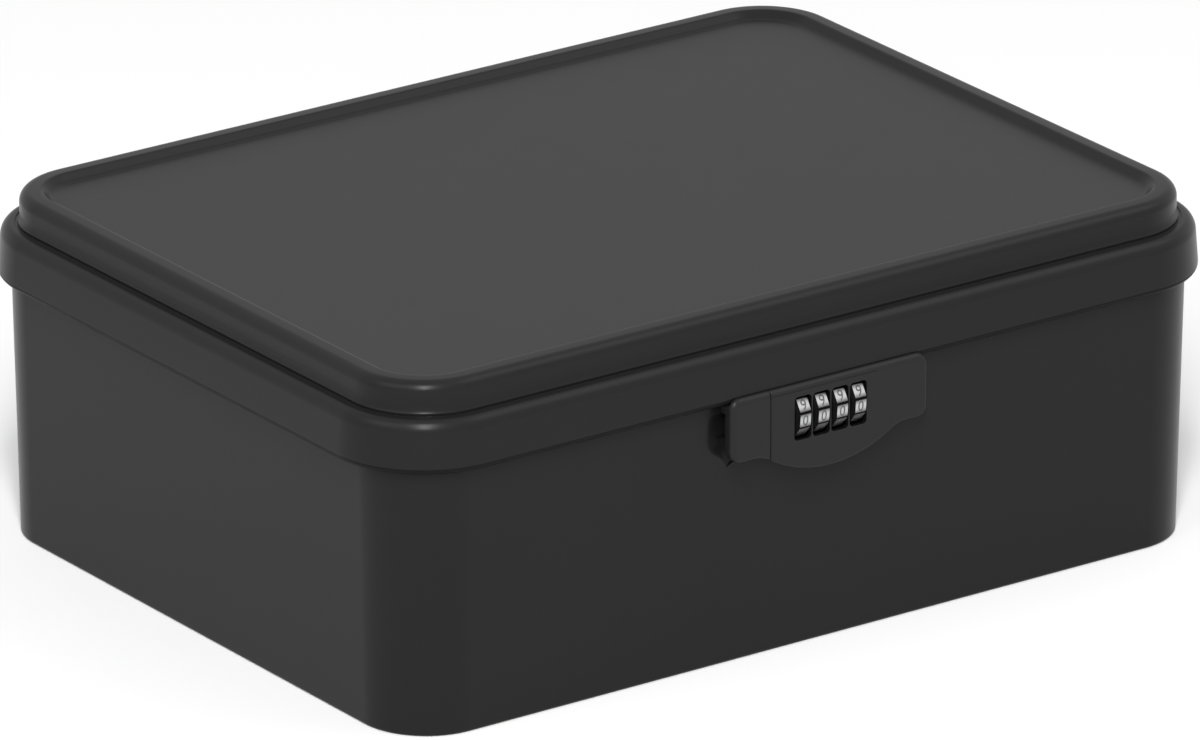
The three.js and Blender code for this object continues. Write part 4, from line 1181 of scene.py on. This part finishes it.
def wheel_numbers(name, x, shown):
    """All ten digits laid onto a wheel's faces, with the shown digit at the front."""
    whole = bmesh.new()
    floor, height = FACE_RADIUS - NUMBER_DEPTH, NUMBER_DEPTH + NUMBER_PROUD
    for number in range(NUMBERS):
        plate = number_plate(number)
        middle = 2 * math.pi * (shown - number) / NUMBERS + WHEEL_TURN
        for vert in plate.verts:
            along, out = vert.co.y, floor + vert.co.z * height
            vert.co = Vector((x + vert.co.x,
                              DIAL_Y - out * math.cos(middle) + along * math.sin(middle),
                              DIAL_Z + out * math.sin(middle) + along * math.cos(middle))) * MM
        mesh = bpy.data.meshes.new("digit")
        plate.to_mesh(mesh)
        plate.free()
        whole.from_mesh(mesh)
        bpy.data.meshes.remove(mesh)
    bmesh.ops.recalc_face_normals(whole, faces=whole.faces)
    mesh = bpy.data.meshes.new(name)
    whole.to_mesh(mesh)
    whole.free()
    mesh.materials.append(number_paint)
    return add_object(name, mesh)


for index, x in enumerate(DIAL_X):
    wheel = wheel_body(f"number_wheel_{index + 1}", x)
    place_on(wheel, [f"dial_{index + 1}"], f"wheel_{index + 1}")
    numbers = wheel_numbers(f"wheel_numbers_{index + 1}", x + (LEFT_RIM - RIGHT_RIM) / 2, 0)
    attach(numbers, f"wheel_{index + 1}")
    print(numbers.name, "faces:", len(numbers.data.polygons))

# %% [markdown]
# ## Screws
# The same kind of screw is used seven times. One screw is a line swept round a very small
# circle, with a cross cut into its head. A Geometry Nodes tree then sets a copy of it on each
# of its places and turns each copy a little, because no two screws stop at the same angle.

# %% One screw
SCREW_RADIUS = 1.1
HEAD_RADIUS = 2.1
HEAD_HEIGHT = 1.5
END_CHAMFER = 0.4
CROSS_REACH = 1.15
CROSS_HALF_WIDTH = 0.24
TINY = 0.004


def turned_piece(name, profile, finish):
    """A round body on the Z axis from (radius, height, rounding) corners, top to bottom."""
    corners = [(TINY - radius, height, rounding, rounding) for radius, height, rounding in profile]
    return swept_shell(name, corners, (2 * TINY, 2 * TINY, TINY * 0.999), finish)


def cross_cutter(floor, top):
    """A plus-shaped prism for a screw's drive."""
    s, w = CROSS_REACH, CROSS_HALF_WIDTH
    outline = [(w, w), (s, w), (s, -w), (w, -w), (w, -s), (-w, -s), (-w, -w), (-s, -w), (-s, w),
               (-w, w), (-w, s), (w, s)]
    return slab("cross", outline, "Z", floor, top, zinc_steel)


def screw(name, head, length, floor, top):
    """A screw from its head's profile, with a cross cut into it from a floor to above its top."""
    shank = [(SCREW_RADIUS, END_CHAMFER - length, 0.05),
             (SCREW_RADIUS - END_CHAMFER, -length, 0.05), (0.0, -length, 0)]
    return combine(turned_piece(name, head + shank, zinc_steel), [cross_cutter(floor, top)],
                   "DIFFERENCE")


def pan_screw(length):
    """A screw with a domed head whose seat is at height 0."""
    return screw("pan_screw", [
        (0.0, HEAD_HEIGHT, 0), (1.1, HEAD_HEIGHT, 0.5), (HEAD_RADIUS, 0.75, 0.55),
        (HEAD_RADIUS, 0.0, 0.08), (SCREW_RADIUS, 0.0, 0.05),
    ], length, floor=0.7, top=2.0)


def sunk_screw(length):
    """A screw with a flat countersunk head whose top is at height 0."""
    return screw("sunk_screw", [
        (0.0, 0.0, 0), (HEAD_RADIUS, 0.0, 0.08), (SCREW_RADIUS, -1.2, 0.1),
    ], length, floor=-0.8, top=0.5)

# %% Scatter tree
MOST_TURN = 1.5


def scatter_tree():
    """A node tree that sets a turned copy of a piece on each point of the host."""
    tree, given = geometry_tree("set_on_places", {
        "Places": "Geometry", "Piece": "Object", "Direction": "Vector", "Material": "Material",
    })
    nodes, link = tree.nodes, tree.links.new
    source = nodes.new("GeometryNodeObjectInfo")
    aim = nodes.new("FunctionNodeAlignRotationToVector")
    set_on = nodes.new("GeometryNodeInstanceOnPoints")
    chance = nodes.new("FunctionNodeRandomValue")
    angle = nodes.new("ShaderNodeCombineXYZ")
    spin = nodes.new("GeometryNodeRotateInstances")
    aim.axis = "Z"
    # A Random Value node has one set of sockets for each kind of value. These are the floats'.
    chance.data_type = "FLOAT"
    highest, turn = chance.inputs[3], chance.outputs[1]
    highest.default_value = MOST_TURN
    link(given.outputs["Piece"], source.inputs["Object"])
    link(given.outputs["Direction"], aim.inputs["Vector"])
    link(given.outputs["Places"], set_on.inputs["Points"])
    link(source.outputs["Geometry"], set_on.inputs["Instance"])
    link(aim.outputs["Rotation"], set_on.inputs["Rotation"])
    link(turn, angle.inputs["Z"])
    link(set_on.outputs["Instances"], spin.inputs["Instances"])
    link(angle.outputs["Vector"], spin.inputs["Rotation"])
    return end_tree(tree, given, spin.outputs["Instances"])


set_on_places = scatter_tree()


def screw_set(name, piece, places, direction):
    """Copies of a screw on places in mm, with their heads towards a direction."""
    made = piece_from_tree(name, places, [], set_on_places,
                           {"Piece": piece, "Direction": direction, "Material": zinc_steel})
    bpy.data.objects.remove(piece)
    tidy(made)
    return made

# %% Screws on their places
HOUSING_SEAT_Y = -103.75
STRIKER_SEAT_Z = 95.45
BOLT_FACE_Y = -103.55

lock_screws = screw_set("lock_screws", pan_screw(length=7.6),
                        [(x, HOUSING_SEAT_Y, z) for x, z in SCREW_PLACES], (0, 1, 0))
place_on(lock_screws, [f"lock_screw_{k}" for k in (1, 2, 3, 4)], "box")
striker_screws = screw_set("striker_screws", pan_screw(length=5.2),
                           [(x, BOSS_Y, STRIKER_SEAT_Z) for x in BOSS_X], (0, 0, -1))
place_on(striker_screws, ["striker_screw_1", "striker_screw_2"], "lid_body")
slide_screw = screw_set("slide_screw", sunk_screw(length=5.6),
                        [(SLIDE_SCREW[0], BOLT_FACE_Y, SLIDE_SCREW[1])], (0, 1, 0))
place_on(slide_screw, ["slider_screw"], "release")

# %% Pins and axle
PIN_HALF = 16.8
AXLE_HALF = 14.99


def round_bar(name, middle, half, y, z, radius, chamfer):
    """A steel bar along X with chamfered ends."""
    rings = []
    for along, size in ((-half, radius - chamfer), (chamfer - half, radius),
                        (half - chamfer, radius), (half, radius - chamfer)):
        rings.append([(middle + along, u, v) for u, v in circle(y, z, size, 40)])
    return rings_piece(name, rings, zinc_steel)


for side, label in ((-1, "left"), (1, "right")):
    pin = round_bar(f"hinge_pin_{label}_bar", side * HINGE_SPREAD, PIN_HALF, HINGE_Y, HINGE_Z,
                    radius=1.5, chamfer=0.4)
    place_on(pin, [f"hinge_pin_{label}"], "box")
axle = round_bar("dial_axle", 0, AXLE_HALF, DIAL_Y, DIAL_Z, radius=1.6, chamfer=0.3)
place_on(axle, ["dial_spindle"], "box")

# %% [markdown]
# ## Light and floor
# A dark satin surface shows mostly what it mirrors, so the room matters more than the lamps. It
# is white all round, with one grey screen behind that the lid's top mirrors. A narrow upright
# lamp over the camera makes the bright marks on the near corner, and a soft one at each side
# lights the rounded edges. The floor is pale, and the camera sees it as the white of the page.
# What the camera sees of the room is full white, but the room lights the box less than that.

# %% Floor
def view_factor(tree):
    """1 for what the camera sees, straight or in a mirror or through a clear body, otherwise 0."""
    seen = tree.nodes.new("ShaderNodeLightPath")
    factor = seen.outputs["Is Camera Ray"]
    for kind in ("Is Glossy Ray", "Is Transmission Ray"):
        either = tree.nodes.new("ShaderNodeMath")
        either.operation = "MAXIMUM"
        tree.links.new(factor, either.inputs[0])
        tree.links.new(seen.outputs[kind], either.inputs[1])
        factor = either.outputs[0]
    return factor


FLOOR_REACH = 12
FLOOR_LEVEL = -0.05 * MM
PAPER = (0.80, 0.80, 0.80, 1)
PAPER_GLOW = (0.22, 0.22, 0.22, 1)


def studio_floor():
    """A wide pale floor with the object's soft shadow on it."""
    mesh = bpy.data.meshes.new("floor")
    corners = [(x * FLOOR_REACH, y * FLOOR_REACH, FLOOR_LEVEL)
               for x, y in ((-1, -1), (1, -1), (1, 1), (-1, 1))]
    mesh.from_pydata(corners, [], [(0, 1, 2, 3)])
    floor = add_object("floor", mesh)
    material = bpy.data.materials.new("floor_paper")
    material.use_nodes = True
    tree = material.node_tree
    tree.nodes.clear()
    output = tree.nodes.new("ShaderNodeOutputMaterial")
    paper = tree.nodes.new("ShaderNodeBsdfDiffuse")
    glow = tree.nodes.new("ShaderNodeEmission")
    both = tree.nodes.new("ShaderNodeAddShader")
    paper.inputs["Color"].default_value = PAPER
    glow.inputs["Color"].default_value = PAPER_GLOW
    tree.links.new(view_factor(tree), glow.inputs["Strength"])
    tree.links.new(paper.outputs["BSDF"], both.inputs[0])
    tree.links.new(glow.outputs["Emission"], both.inputs[1])
    tree.links.new(both.outputs["Shader"], output.inputs["Surface"])
    mesh.materials.append(material)


studio_floor()
print("floor reaches:", FLOOR_REACH, "m each way")

# %% Lamps and world
AIM = (0, 0, 50 * MM)
# Each lamp's name, turn and rise in degrees, distance, width and height in metres, and power.
LAMPS = [
    ("key_light", -35.5, 45, 3.0, 0.28, 1.8, 68),
    ("left_light", -85, 42, 3.2, 2.0, 1.6, 15),
    ("right_light", 57, 50, 3.2, 2.0, 1.6, 13),
]


def soft_box(name, turn, rise, distance, width, height, power):
    """A rectangular lamp that looks at the box; its turn is counted from the box's front."""
    data = bpy.data.lights.new(name, "AREA")
    data.shape = "RECTANGLE"
    data.size = width
    data.size_y = height
    data.energy = power
    lamp = add_object(name, data)
    turn, rise = math.radians(turn), math.radians(rise)
    position = distance * Vector((math.sin(turn) * math.cos(rise), -math.cos(turn) * math.cos(rise),
                                  math.sin(rise)))
    lamp.location = position
    lamp.rotation_euler = (Vector(AIM) - position).to_track_quat("-Z", "Y").to_euler()


for lamp_values in LAMPS:
    soft_box(*lamp_values)
print("lamps:", len(bpy.data.lights))

# %% World
SCREEN_DIRECTION = (0.542, 0.760, 0.358)
SCREEN_EDGE, SCREEN_CORE = 0.70, 0.93
SCREEN_LEVEL = 0.72
ROOM_LEVEL = 0.42


def studio_world():
    """A white room with one grey screen behind the right back, which the lid's top mirrors."""
    world = bpy.data.worlds.new("studio")
    bpy.context.scene.world = world
    world.use_nodes = True
    tree = world.node_tree
    tree.nodes.clear()
    link = tree.links.new
    output = tree.nodes.new("ShaderNodeOutputWorld")
    surround = tree.nodes.new("ShaderNodeBackground")
    direction = tree.nodes.new("ShaderNodeTexCoord")
    toward = tree.nodes.new("ShaderNodeVectorMath")
    level = tree.nodes.new("ShaderNodeMix")
    toward.operation = "DOT_PRODUCT"
    toward.inputs[1].default_value = SCREEN_DIRECTION
    level.inputs["A"].default_value = ROOM_LEVEL
    surround.inputs["Color"].default_value = (1, 1, 1, 1)
    link(direction.outputs["Generated"], toward.inputs[0])
    screen = soft_step(tree, toward.outputs["Value"], SCREEN_EDGE, SCREEN_CORE, 1.0, SCREEN_LEVEL)
    link(view_factor(tree), level.inputs["Factor"])
    link(screen, level.inputs["B"])
    link(level.outputs["Result"], surround.inputs["Strength"])
    link(surround.outputs["Background"], output.inputs["Surface"])


studio_world()
bpy.context.scene.view_settings.view_transform = "Standard"
print("world:", bpy.context.scene.world.name)
